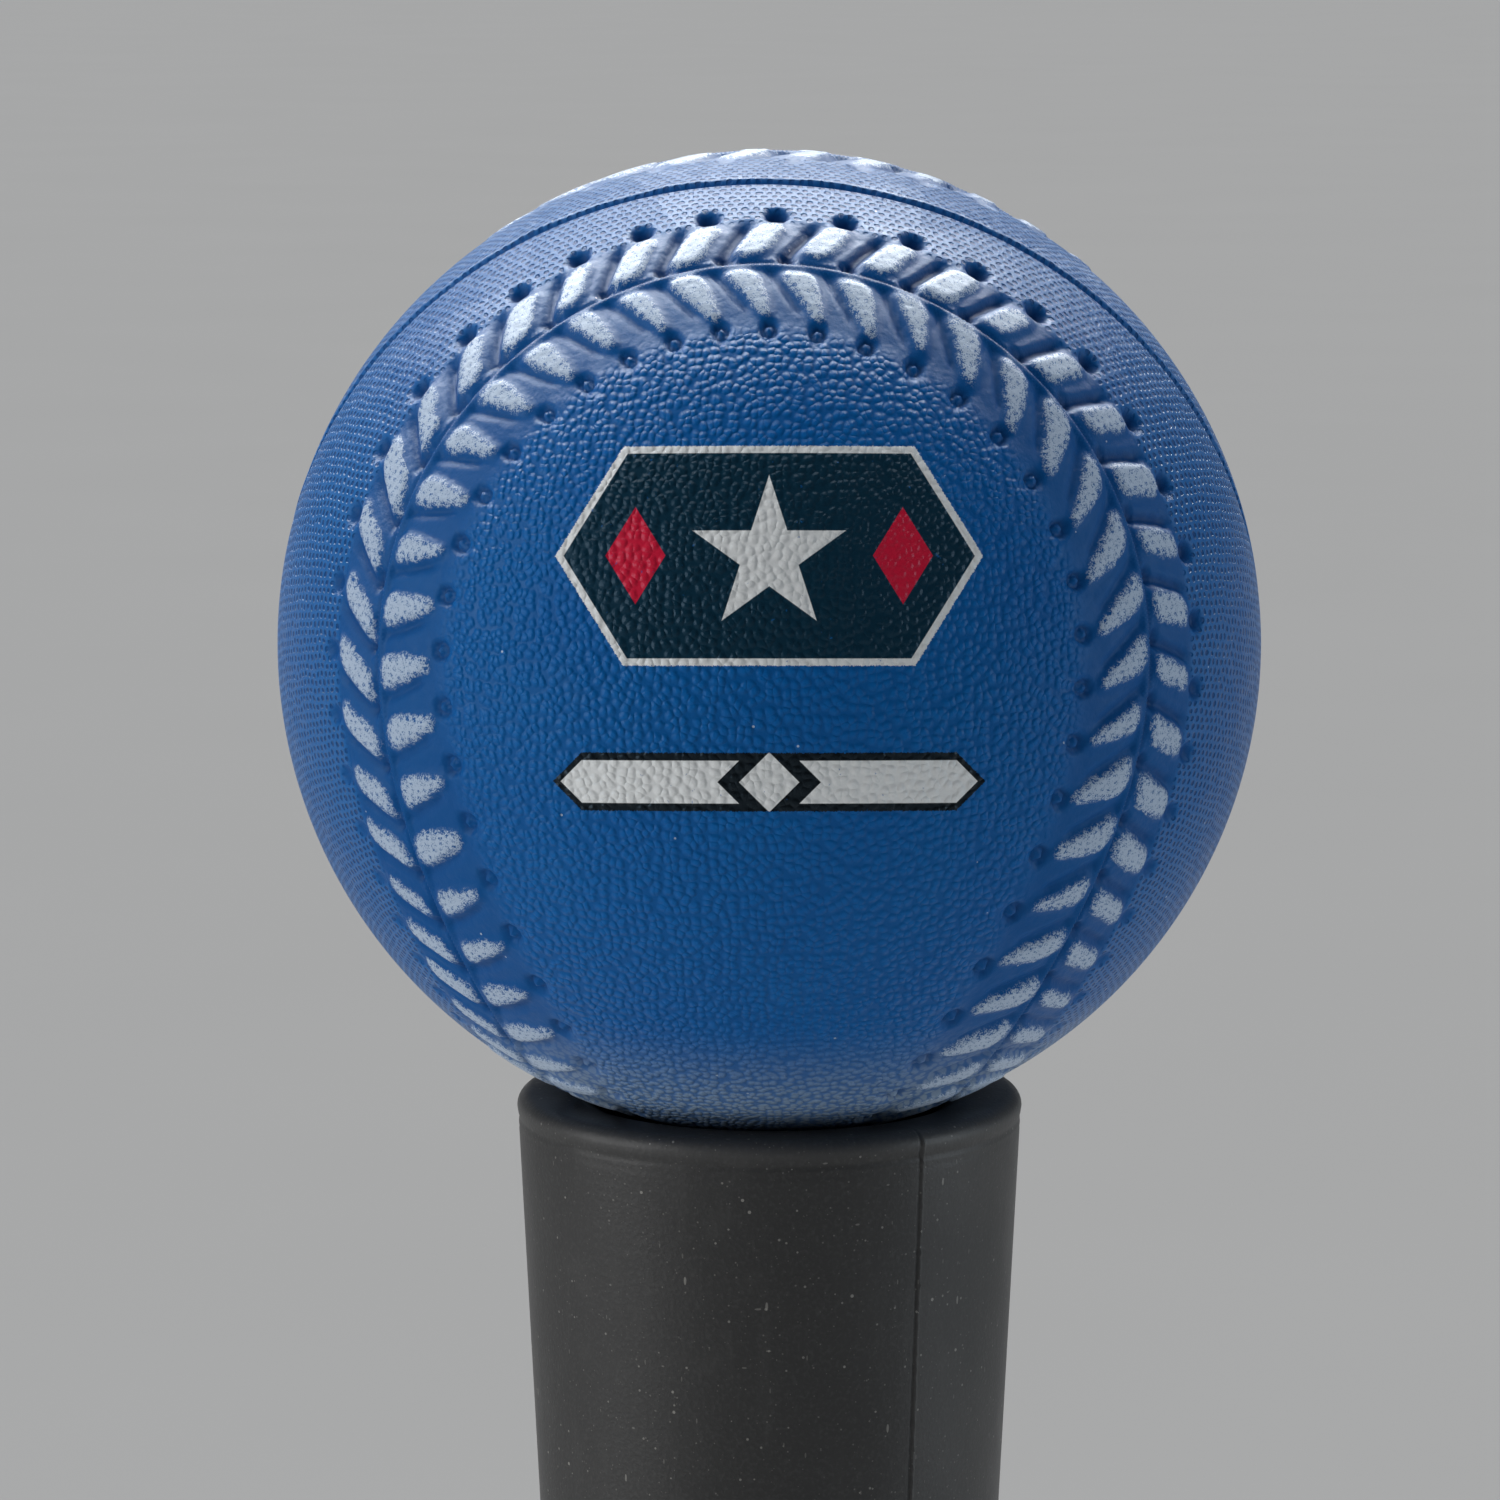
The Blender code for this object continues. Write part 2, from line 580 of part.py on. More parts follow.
def clamp_saddle(finish):
    """The hard washer plate between the cam and the ear."""
    corners = [(-SADDLE_INWARD, -SADDLE_HALF_HEIGHT), (SADDLE_OUTWARD, -SADDLE_HALF_HEIGHT),
               (SADDLE_OUTWARD, SADDLE_HALF_HEIGHT), (-SADDLE_INWARD, SADDLE_HALF_HEIGHT)]
    hole = arc((0, 0), CLAMP_BOLT_RADIUS + GAP, 0, 360 - 360 / SMALL_STEPS, SMALL_STEPS - 1)
    plate = prism("clamp_saddle", [rounded(corners, SADDLE_CORNER, 3), hole], 0, SADDLE_THICKNESS, finish)
    plate.location = (CLAMP_BOLT_OUT, -EAR_HALF_WIDTH - GAP, clamp_bolt_height)
    plate.rotation_euler = (math.radians(90), 0, 0)


def lever_outline():
    """The lever seen from above: straight from its pin to the collar, round it, and out at the finger tab."""
    pin = Vector((pin_place.x, pin_place.y))
    touch_angle = math.atan2(pin.y, pin.x) - math.acos(LEVER_RADIUS / pin.length)
    middle = [(pin, LEVER_THICKNESS / 2)]
    for step in range(LEVER_WRAP_STEPS + 1):
        angle = touch_angle + (LEVER_WRAP_END - touch_angle) * step / LEVER_WRAP_STEPS
        middle.append((Vector((math.cos(angle), math.sin(angle))) * LEVER_RADIUS, LEVER_THICKNESS / 2))
    onward = Vector((math.sin(LEVER_WRAP_END), -math.cos(LEVER_WRAP_END)))
    outward = Vector((math.cos(LEVER_WRAP_END), math.sin(LEVER_WRAP_END)))
    tip = middle[-1][0] + onward * LEVER_TAB + outward * LEVER_TAB_OUT
    middle.append((tip, LEVER_TIP_HALF))
    left, right = [], []
    for index, (point, half) in enumerate(middle):
        ahead = middle[min(index + 1, len(middle) - 1)][0] - middle[max(index - 1, 0)][0]
        side = Vector((-ahead.y, ahead.x)).normalized() * half
        left.append(tuple(point + side))
        right.append(tuple(point - side))
    heading = math.degrees(math.atan2(ahead.y, ahead.x))
    end_cap = arc(tip, LEVER_TIP_HALF, heading + 90, heading - 90, 6)[1:-1]
    return left + end_cap + right[::-1]


def clamp_lever(finish):
    """The cam lever: a fork around the bolt's eye, an off-centre cam, and an arm wrapped round the collar."""
    low, high = EAR_BOTTOM + LEVER_INSET, EAR_TOP - LEVER_INSET
    lever = prism("clamp_lever", [lever_outline()], low, high, finish)
    bevel(lever, LEVER_EDGE)
    settle(lever)
    cam = turned("lever_cam", rod(CAM_RADIUS, low, high), None)
    cam.location = (pin_place.x, pin_place.y + CAM_OFFSET, 0)
    combine(lever, cam, "UNION")
    fork = turned("lever_fork", rod(FORK_REACH, clamp_bolt_height - FORK_GAP / 2,
                                    clamp_bolt_height + FORK_GAP / 2), None)
    hole = turned("lever_pin_hole", rod(PIN_RADIUS + GAP, COLLAR_BOTTOM, COLLAR_TOP), None, steps=SMALL_STEPS)
    for cutter in (fork, hole):
        cutter.location = (pin_place.x, pin_place.y, 0)
        combine(lever, cutter)


def lever_pin(finish):
    """The upright pin through the lever's fork and the bolt's eye."""
    profile = [(0, EAR_TOP), (PIN_RADIUS - PIN_EDGE, EAR_TOP), (PIN_RADIUS, EAR_TOP - PIN_EDGE),
               (PIN_RADIUS, EAR_BOTTOM + PIN_EDGE), (PIN_RADIUS - PIN_EDGE, EAR_BOTTOM), (0, EAR_BOTTOM)]
    pin = turned("lever_pin", profile, finish, steps=SMALL_STEPS)
    pin.location = (pin_place.x, pin_place.y, 0)


def upper_tube(finish):
    """The sliding inner tube, with the groove that the clamp's key runs in."""
    inner = turned("upper_tube", tube(UPPER_TUBE_RADIUS, upper_bore, upper_tube_bottom, upper_tube_top),
                   finish, ring=True)
    length = upper_tube_top - upper_tube_bottom
    cutter_width = GROOVE_DEPTH + GROOVE_EDGE_OUT
    combine(inner, box("tube_groove", (cutter_width, GROOVE_WIDTH, length + 2 * OVERCUT),
                       (-(UPPER_TUBE_RADIUS - GROOVE_DEPTH + cutter_width / 2), 0,
                        (upper_tube_top + upper_tube_bottom) / 2)))


def guide_bush(finish):
    """The plastic bush on the upper tube's foot, a sliding fit in the lower tube."""
    top = bush_bottom + BUSH_LENGTH
    outer, inner, lip_bore = lower_bore - GAP, UPPER_TUBE_RADIUS + GAP, upper_bore - BUSH_LIP_REACH
    profile = [(outer - BUSH_EDGE / 2, top), (outer, top - BUSH_EDGE), (outer, bush_bottom + BUSH_EDGE),
               (outer - BUSH_EDGE, bush_bottom), (lip_bore, bush_bottom), (lip_bore, bush_bottom + BUSH_LIP),
               (inner, bush_bottom + BUSH_LIP), (inner, top)]
    turned("guide_bush", profile, finish, ring=True)


def tube_cap(finish):
    """The plug that closes the upper tube's top end and keeps its edge off the rubber."""
    plug = upper_bore - GAP
    seat = upper_tube_top + GAP
    top, foot = seat + CAP_HEAD, seat - CAP_PLUG
    profile = [(0, top), (UPPER_TUBE_RADIUS - CAP_EDGE, top), (UPPER_TUBE_RADIUS, top - CAP_EDGE),
               (UPPER_TUBE_RADIUS, seat), (plug, seat), (plug, foot + CAP_EDGE), (plug - CAP_EDGE, foot),
               (0, foot)]
    turned("tube_cap", profile, finish)


def top_radius(depth):
    """The rubber top's outer radius at a depth below the rim: an even taper, then a straight grip."""
    return RIM_RADIUS + (GRIP_RADIUS - RIM_RADIUS) * min(depth / TAPER_DEPTH, 1)


def at(depth):
    """The height that lies this deep below the rim."""
    return RIM_HEIGHT - depth


def rubber_top(finish):
    """The rubber top in three solids: the sleeve that grips the tube, the bending neck and the ball's cup."""
    rim = arc((RIM_RADIUS - RIM_ROUNDING, at(RIM_ROUNDING)), RIM_ROUNDING, 90, 0, 4)
    cup = [(SEAT_OUTER, at(SEAT_OUTER_DEPTH))] + rim
    cup += [(top_radius(CUP_DEPTH), at(CUP_DEPTH)), (NECK_BORE, at(CUP_DEPTH)),
            (CUP_BORE, at(CUP_DEPTH - CUP_BORE_TAPER)), (CUP_BORE, at(SEAT_END_DEPTH)),
            (SEAT_INNER, at(SEAT_INNER_DEPTH))]
    turned("rubber_top_cup", cup, finish, ring=True, steps=RIM_STEPS)

    neck_top, neck_end = CUP_DEPTH + GAP, NECK_END_DEPTH - GAP
    neck = [(top_radius(neck_top), at(neck_top)), (top_radius(neck_end), at(neck_end)),
            (NECK_BORE, at(neck_end)), (NECK_BORE, at(neck_top))]
    turned("rubber_top_neck", neck, finish, ring=True)

    bead = GRIP_RADIUS + BEAD_OUT
    shoulder = upper_tube_top + GAP + CAP_HEAD + GAP
    sleeve = [(top_radius(NECK_END_DEPTH), at(NECK_END_DEPTH)), (GRIP_RADIUS, at(TAPER_DEPTH)),
              (GRIP_RADIUS, at(TOP_LENGTH - BEAD_HEIGHT - BEAD_SLOPE)), (bead, at(TOP_LENGTH - BEAD_HEIGHT)),
              (bead, at(TOP_LENGTH - BEAD_EDGE)), (bead - BEAD_EDGE, at(TOP_LENGTH)),
              (UPPER_TUBE_RADIUS + GAP, at(TOP_LENGTH)), (UPPER_TUBE_RADIUS + GAP, shoulder),
              (NECK_BORE, shoulder), (NECK_BORE, at(NECK_END_DEPTH))]
    turned("rubber_top_sleeve", sleeve, finish, ring=True)


def ball(finish):
    """The foam ball that rests on the rim."""
    shape = bmesh.new()
    bmesh.ops.create_uvsphere(shape, u_segments=BALL_RINGS * 2, v_segments=BALL_RINGS, radius=BALL_RADIUS)
    mesh = bpy.data.meshes.new("ball")
    shape.to_mesh(mesh)
    shape.free()
    mesh.shade_smooth()
    place("ball", mesh, finish).location = ball_centre


def pivot(name, spot, pieces, parent=None):
    """An empty on a joint's axis, with the pieces that move about it as its children."""
    empty = bpy.data.objects.new(name, None)
    bpy.data.collections["batting_tee"].objects.link(empty)
    empty.empty_display_size = 0.02
    empty.location = spot
    if parent:
        bpy.context.view_layer.update()
        empty.parent = parent
        empty.matrix_parent_inverse = parent.matrix_world.inverted()
    for piece in pieces:
        item = bpy.data.objects[piece]
        item.parent = empty
        item.matrix_parent_inverse = Matrix.Translation(-Vector(spot))
    return empty


def main():
    clear_scene()
    base_rubber = material("base_rubber", (0.018, 0.018, 0.019), 0.75)
    panel_white = material("panel_white", (0.80, 0.79, 0.76), 0.5)
    moulded_black = material("moulded_black", (0.025, 0.025, 0.027), 0.5)
    lever_blue = material("lever_blue", (0.03, 0.10, 0.30), 0.45)
    bright_steel = material("bright_steel", (0.62, 0.62, 0.63), 0.3, 1.0)
    black_paint = material("black_paint", (0.02, 0.02, 0.022), 0.35)
    tube_steel = material("tube_steel", (0.55, 0.56, 0.58), 0.28, 1.0)
    top_rubber = material("top_rubber", (0.045, 0.046, 0.05), 0.6)
    ball_foam = material("ball_foam", (0.015, 0.06, 0.22), 0.45)

    base_plate(base_rubber)
    plate_panel(panel_white)
    pole_socket(moulded_black)
    base_fasteners(bright_steel)
    screw_seat = (0, BOSS_RADIUS + SOCKET_SCREW_STANDOFF, SOCKET_SCREW_HEIGHT)
    pan_screw("socket_screw", SOCKET_SCREW_RADIUS, SOCKET_SCREW_LENGTH, screw_seat, (0, 1, 0), bright_steel)
    lower_tube(black_paint)
    collar_liner(moulded_black)
    clamp_body(moulded_black)
    pan_screw("collar_screw", COLLAR_SCREW_RADIUS, COLLAR_SCREW_LENGTH,
              (-COLLAR_RADIUS - GAP, 0, collar_screw_height), (-1, 0, 0), bright_steel)
    clamp_bolt(bright_steel)
    clamp_nut(bright_steel)
    clamp_saddle(bright_steel)
    lever_pin(bright_steel)
    clamp_lever(lever_blue)
    upper_tube(tube_steel)
    guide_bush(moulded_black)
    tube_cap(moulded_black)
    rubber_top(top_rubber)
    ball(ball_foam)

    pivot("lever_hinge", pin_place, ["clamp_lever"])
    slide = pivot("mast_slide", (0, 0, bush_bottom),
                  ["upper_tube", "guide_bush", "tube_cap", "rubber_top_sleeve", "rubber_top_neck"])
    flex = pivot("top_flex", (0, 0, flex_height), ["rubber_top_cup"], slide)
    pivot("ball_lift", ball_centre, ["ball"], flex)


main()
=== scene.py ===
"""Batting tee with a foam practice ball: the visible pieces, their materials, the light and the camera.

Metres, +Z up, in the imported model's frame. The plate's point and the viewer are towards -Y.
"""
import math

import bmesh
import bpy
import numpy as np
from mathutils import Matrix, Vector
from mathutils.geometry import delaunay_2d_cdt


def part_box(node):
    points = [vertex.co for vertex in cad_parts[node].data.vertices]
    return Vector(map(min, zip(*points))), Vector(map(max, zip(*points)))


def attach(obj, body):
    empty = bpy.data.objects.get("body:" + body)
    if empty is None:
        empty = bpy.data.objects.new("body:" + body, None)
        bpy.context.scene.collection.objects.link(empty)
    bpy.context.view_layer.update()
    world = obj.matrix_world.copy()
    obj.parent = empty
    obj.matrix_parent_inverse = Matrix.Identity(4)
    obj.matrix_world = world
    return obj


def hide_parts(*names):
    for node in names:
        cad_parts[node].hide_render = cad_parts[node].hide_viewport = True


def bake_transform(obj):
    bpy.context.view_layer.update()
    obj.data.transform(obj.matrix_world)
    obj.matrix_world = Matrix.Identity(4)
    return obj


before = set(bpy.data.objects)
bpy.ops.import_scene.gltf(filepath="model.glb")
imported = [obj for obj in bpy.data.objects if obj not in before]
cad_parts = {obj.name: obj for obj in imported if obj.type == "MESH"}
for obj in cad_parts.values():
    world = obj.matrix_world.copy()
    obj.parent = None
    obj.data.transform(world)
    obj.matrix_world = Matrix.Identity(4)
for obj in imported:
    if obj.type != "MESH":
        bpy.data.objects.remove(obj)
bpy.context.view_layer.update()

MM = 0.001

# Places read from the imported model.
BALL_LOW, BALL_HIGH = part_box("ball")
BALL_CENTRE = (BALL_LOW + BALL_HIGH) / 2
BALL_RADIUS = (BALL_HIGH.z - BALL_LOW.z) / 2
BALL_RADIUS_MM = BALL_RADIUS / MM
RIM_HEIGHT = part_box("rubber_top_cup")[1].z
RIM_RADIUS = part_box("rubber_top_cup")[1].x
TOP_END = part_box("rubber_top_sleeve")[0].z

# Camera: how far it looks down on the ball, its distance, and where the ball stands off the picture's middle.
CAMERA_ELEVATION = math.radians(7.7)
CAMERA_DISTANCE = 12 * BALL_RADIUS
CAMERA_LENS = 141.7
BALL_OFF_RIGHT = math.radians(0.186)
BALL_OFF_UP = math.radians(1.035)

# The seam: a closed curve on the ball, by its harmonics, and how the ball has been laid on the rim. They are
# fitted to the side that the viewer sees, with a neck of about 36 degrees assumed.
SEAM_HARMONIC_3 = 0.353
SEAM_HARMONIC_5 = -0.042
SEAM_HARMONIC_6 = -0.057
LOBE_AZIMUTH = math.radians(-2.0)
LOBE_ELEVATION = math.radians(-24.6)
LOBE_ROLL = math.radians(2.7)

# The stitches in a row, counted on the near side and rounded so that the row closes, and where along the seam
# the first one is, in millimetres.
STITCHES = 96
FIRST_STITCH = 3.18

# Each row's stitches wander along the seam: a shift in millimetres, then waves round the whole seam as
# (number of waves, sine part, cosine part). These and the next are fitted to the near side only.
OUTER_DRIFT = (0.46, (2, -0.52, 0.27), (8, -0.17, -0.16))
INNER_DRIFT = (0.27, (2, -0.84, 0.82), (7, -0.02, -0.55))

# How far each row's stitches lean, in degrees, as waves of the same kind.
OUTER_LEAN = (24, (2, -0.6, 0.2), (3, 6.7, 7.3))
INNER_LEAN = (21, (3, -4.2, -11.3))

# How crisp the mould left the outer holes and grooves, from 0 to 1, as waves too.
CRISPNESS = (0.62, (3, 0.19, -0.33))

# The ball's points, in millimetres: how far the fine band reaches beside the seam and how close its rows are,
# the same for the closer rows along the seam's own line, and the spacing over the panels.
BAND_REACH = 7.6
BAND_STEP = 0.33
SEAM_REACH = 0.8
SEAM_STEP = 0.16
PANEL_STEP = 0.70

# The stitches, in millimetres, as (outer row, inner row). Places are told from the seam.
STITCH_PLACE = (2.75, 2.95)
STITCH_HALF_LENGTH = (2.15, 2.45)
STITCH_HALF_WIDTH = (1.22, 1.34)
STITCH_NARROWING = (0.14, 0.78)
STITCH_CORNER = 1.0
LEAN_PIVOT = 2.7
TAPER_START = 0.5
TAPER_LENGTH = 4.6

# The seam band's relief, in millimetres. Depths are told from the panels' surface, and a pair of places is
# where a wall starts and ends. For a pit or a hole those are shares of its radius.
PANEL_DROP = 0.15
CHANNEL_DEPTH = 0.14
CHANNEL_START = (0.25, 0.7)
OUTER_CHANNEL_END = (4.5, 5.0)
INNER_CHANNEL_END = (5.2, 7.3)
RIDGE_HEIGHT = 0.35
RIDGE_WALL = (-0.35, 0.55)
GROOVE_DEPTH = 0.46
GROOVE_GAP = 0.48
GROOVE_WALL = (0.12, 0.58)
GROOVE_START = (0.35, 0.9)
GROOVE_END = (4.2, 5.4)
PIT_DEPTH = 0.35
PIT_SHIFT = 2.0
PIT_PLACE = 0.62
PIT_HALF_LENGTH = 0.85
PIT_HALF_WIDTH = 0.5
PIT_WALL = (0.5, 1.2)

# Lines that run along the seam, as (height, place, width): its narrow cut, the raised edge beside it, and a
# faint crease at the far end of the outer stitches.
SEAM_LINES = ((-0.38, 0.16, 0.16), (0.10, -0.20, 0.15), (-0.10, 5.05, 0.2))

# The moulded needle holes, as (shift along the seam, place across it). The inner ones are rings.
HOLE_RADIUS = 0.93
OUTER_HOLE = (1.1, 6.05)
INNER_HOLE = (1.6, -6.6)
OUTER_HOLE_DEPTH = 0.95
INNER_HOLE_DEPTH = 0.42
OUTER_HOLE_WALL = (0.30, 1.15)
INNER_RING = 0.62
INNER_RING_WALL = (0.1, 0.42)

# The mould's parting line: a cut, a little flash beside it, and the rows of points that carry both.
PARTING_DEPTH = 0.62
PARTING_WIDTH = 0.36
FLASH_HEIGHT = 0.05
FLASH_PLACE = -0.62
FLASH_WIDTH = 0.22
PARTING_ROW_STEP = 0.26
PARTING_ROW_POINTS = 1000
PARTING_CLEARANCE = 1.0

# The skin's grain, in millimetres: dimples outside the seam, pebbles inside it.
GRAIN_PITCH = 0.76
PEBBLE_SIZE = 0.66

# The two prints on the ball's front, in millimetres from the ball's middle as seen by the viewer.
BADGE_HEIGHT = 6.1
BADGE_HALF_LENGTH = 15.0
BADGE_HALF_HEIGHT = 7.7
BADGE_END_SLOPE = math.radians(32)
BADGE_BORDER = 0.55
STAR_RADIUS = 5.6
RHOMB_PLACE = 9.3
RHOMB_HALF_LENGTH = 2.1
RHOMB_SLOPE = 0.62
BAR_HEIGHT = -9.65
BAR_HALF_LENGTH = 15.2
BAR_HALF_HEIGHT = 2.1
BAR_BORDER = 0.6
GEM_HALF = 2.4
GEM_BORDER = 0.3
GEM_GAP = 3.6
PRINT_EDGE = 0.03


# ---------------------------------------------------------------- materials

class Paint:
    """One material under construction. Its pattern methods add nodes and return the socket that they give."""

    def __init__(self, name, roughness, metallic=0.0):
        self.material = bpy.data.materials.new(name)
        self.material.use_nodes = True
        self.tree = self.material.node_tree
        self.shader = self.tree.nodes["Principled BSDF"]
        self.shader.inputs["Roughness"].default_value = roughness
        self.shader.inputs["Metallic"].default_value = metallic
        self.place = self.add("ShaderNodeTexCoord").outputs["Object"]

    def add(self, kind, inputs=None, **settings):
        node = self.tree.nodes.new(kind)
        for key, value in settings.items():
            setattr(node, key, value)
        for key, value in (inputs or {}).items():
            self.feed(node.inputs[key], value)
        return node

    def feed(self, socket, value):
        if isinstance(value, bpy.types.NodeSocket):
            self.tree.links.new(value, socket)
        elif isinstance(value, tuple) and len(value) == 3 and socket.type == "RGBA":
            socket.default_value = (*value, 1)
        else:
            socket.default_value = value

    def math(self, operation, first, second=0.0, third=0.0):
        return self.add("ShaderNodeMath", {0: first, 1: second, 2: third}, operation=operation).outputs[0]

    def step(self, value, low, high, start=0.0, end=1.0):
        """A smooth step of value, from start at low to end at high."""
        limits = {"From Min": low, "From Max": high, "To Min": start, "To Max": end}
        ramp = self.add("ShaderNodeMapRange", {"Value": value, **limits}, interpolation_type="SMOOTHSTEP")
        return ramp.outputs["Result"]

    def mix(self, factor, first, second):
        node = self.add("ShaderNodeMix", {0: factor, 6: first, 7: second}, data_type="RGBA")
        return node.outputs[2]

    def stretched(self, scale):
        """The place on the piece, with each axis scaled, for a pattern that runs along one of them."""
        return self.add("ShaderNodeMapping", {"Vector": self.place, "Scale": scale}).outputs[0]

    def pushed(self, place, noise, reach):
        """A flat place pushed about by the colours of a noise, by up to reach."""
        return self.add("ShaderNodeVectorMath", {0: noise, 1: (reach, reach, 0), 2: place},
                        operation="MULTIPLY_ADD").outputs[0]

    def noise(self, size, detail=3.0, place=None):
        """Noise from 0 to 1 whose features are about size across."""
        node = self.add("ShaderNodeTexNoise", {"Vector": place or self.place, "Scale": 1 / size,
                                               "Detail": detail})
        return node.outputs["Fac"]

    def cells(self, size, randomness=1.0, place=None, flat=False):
        """The distance to the nearest cell's middle, for cells about size across."""
        node = self.add("ShaderNodeTexVoronoi", {"Vector": place or self.place, "Scale": 1 / size,
                                                 "Randomness": randomness},
                        voronoi_dimensions="2D" if flat else "3D")
        return node.outputs["Distance"]

    def lattice(self, place, pitch):
        """Round spots in staggered rows along a flat place's first axis: 1 at their middles, below 0
        between."""
        spot = self.add("ShaderNodeSeparateXYZ", {0: place}).outputs
        rate = 2 * math.pi / (pitch * math.sin(math.radians(60)))
        aside = self.math("MULTIPLY", spot[0], rate * math.sin(math.radians(60)))
        half_up = self.math("MULTIPLY", spot[1], rate / 2)
        waves = [self.math("COSINE", self.math("MULTIPLY", spot[1], rate)),
                 self.math("COSINE", self.math("ADD", aside, half_up)),
                 self.math("COSINE", self.math("SUBTRACT", aside, half_up))]
        total = self.math("ADD", self.math("ADD", waves[0], waves[1]), waves[2])
        return self.math("DIVIDE", total, 3)

    def stored(self, name, output="Fac"):
        return self.add("ShaderNodeAttribute", attribute_name=name).outputs[output]

    def bump(self, height, depth, strength=1.0, below=None):
        """Adds a relief of the given depth over whatever relief is below it."""
        inputs = {"Height": height, "Distance": depth, "Strength": strength}
        if below:
            inputs["Normal"] = below
        return self.add("ShaderNodeBump", inputs).outputs["Normal"]

    def finish(self, colour=None, roughness=None, normal=None):
        for key, value in (("Base Color", colour), ("Roughness", roughness), ("Normal", normal)):
            if value is not None:
                self.feed(self.shader.inputs[key], value)
        return self.material


BALL_BLUE = (0.0028, 0.134, 0.425)
BALL_BLUE_DEEP = (0.0018, 0.106, 0.380)
# Painted shade: the colour that the skin's pits, valleys, grooves, holes and smooth stitch band are darkened
# towards.
BALL_BLUE_SHADE = (0.0010, 0.036, 0.160)
# Painted reflection of the floor on the ball's underside.
UNDERSIDE_REFLECTION_GREY = (0.30, 0.38, 0.46)
# Wear, and a painted highlight on the raised net between the dimples.
BALL_BLUE_WORN_AND_SHEEN = (0.060, 0.165, 0.360)
STITCH_WHITE = (0.44, 0.54, 0.68)
DUST_WHITE = (0.65, 0.72, 0.80)
PRINT_WHITE = (0.80, 0.82, 0.82)
PRINT_NAVY = (0.004, 0.028, 0.052)
PRINT_RED = (0.62, 0.012, 0.045)
PRINT_BLACK = (0.006, 0.008, 0.010)


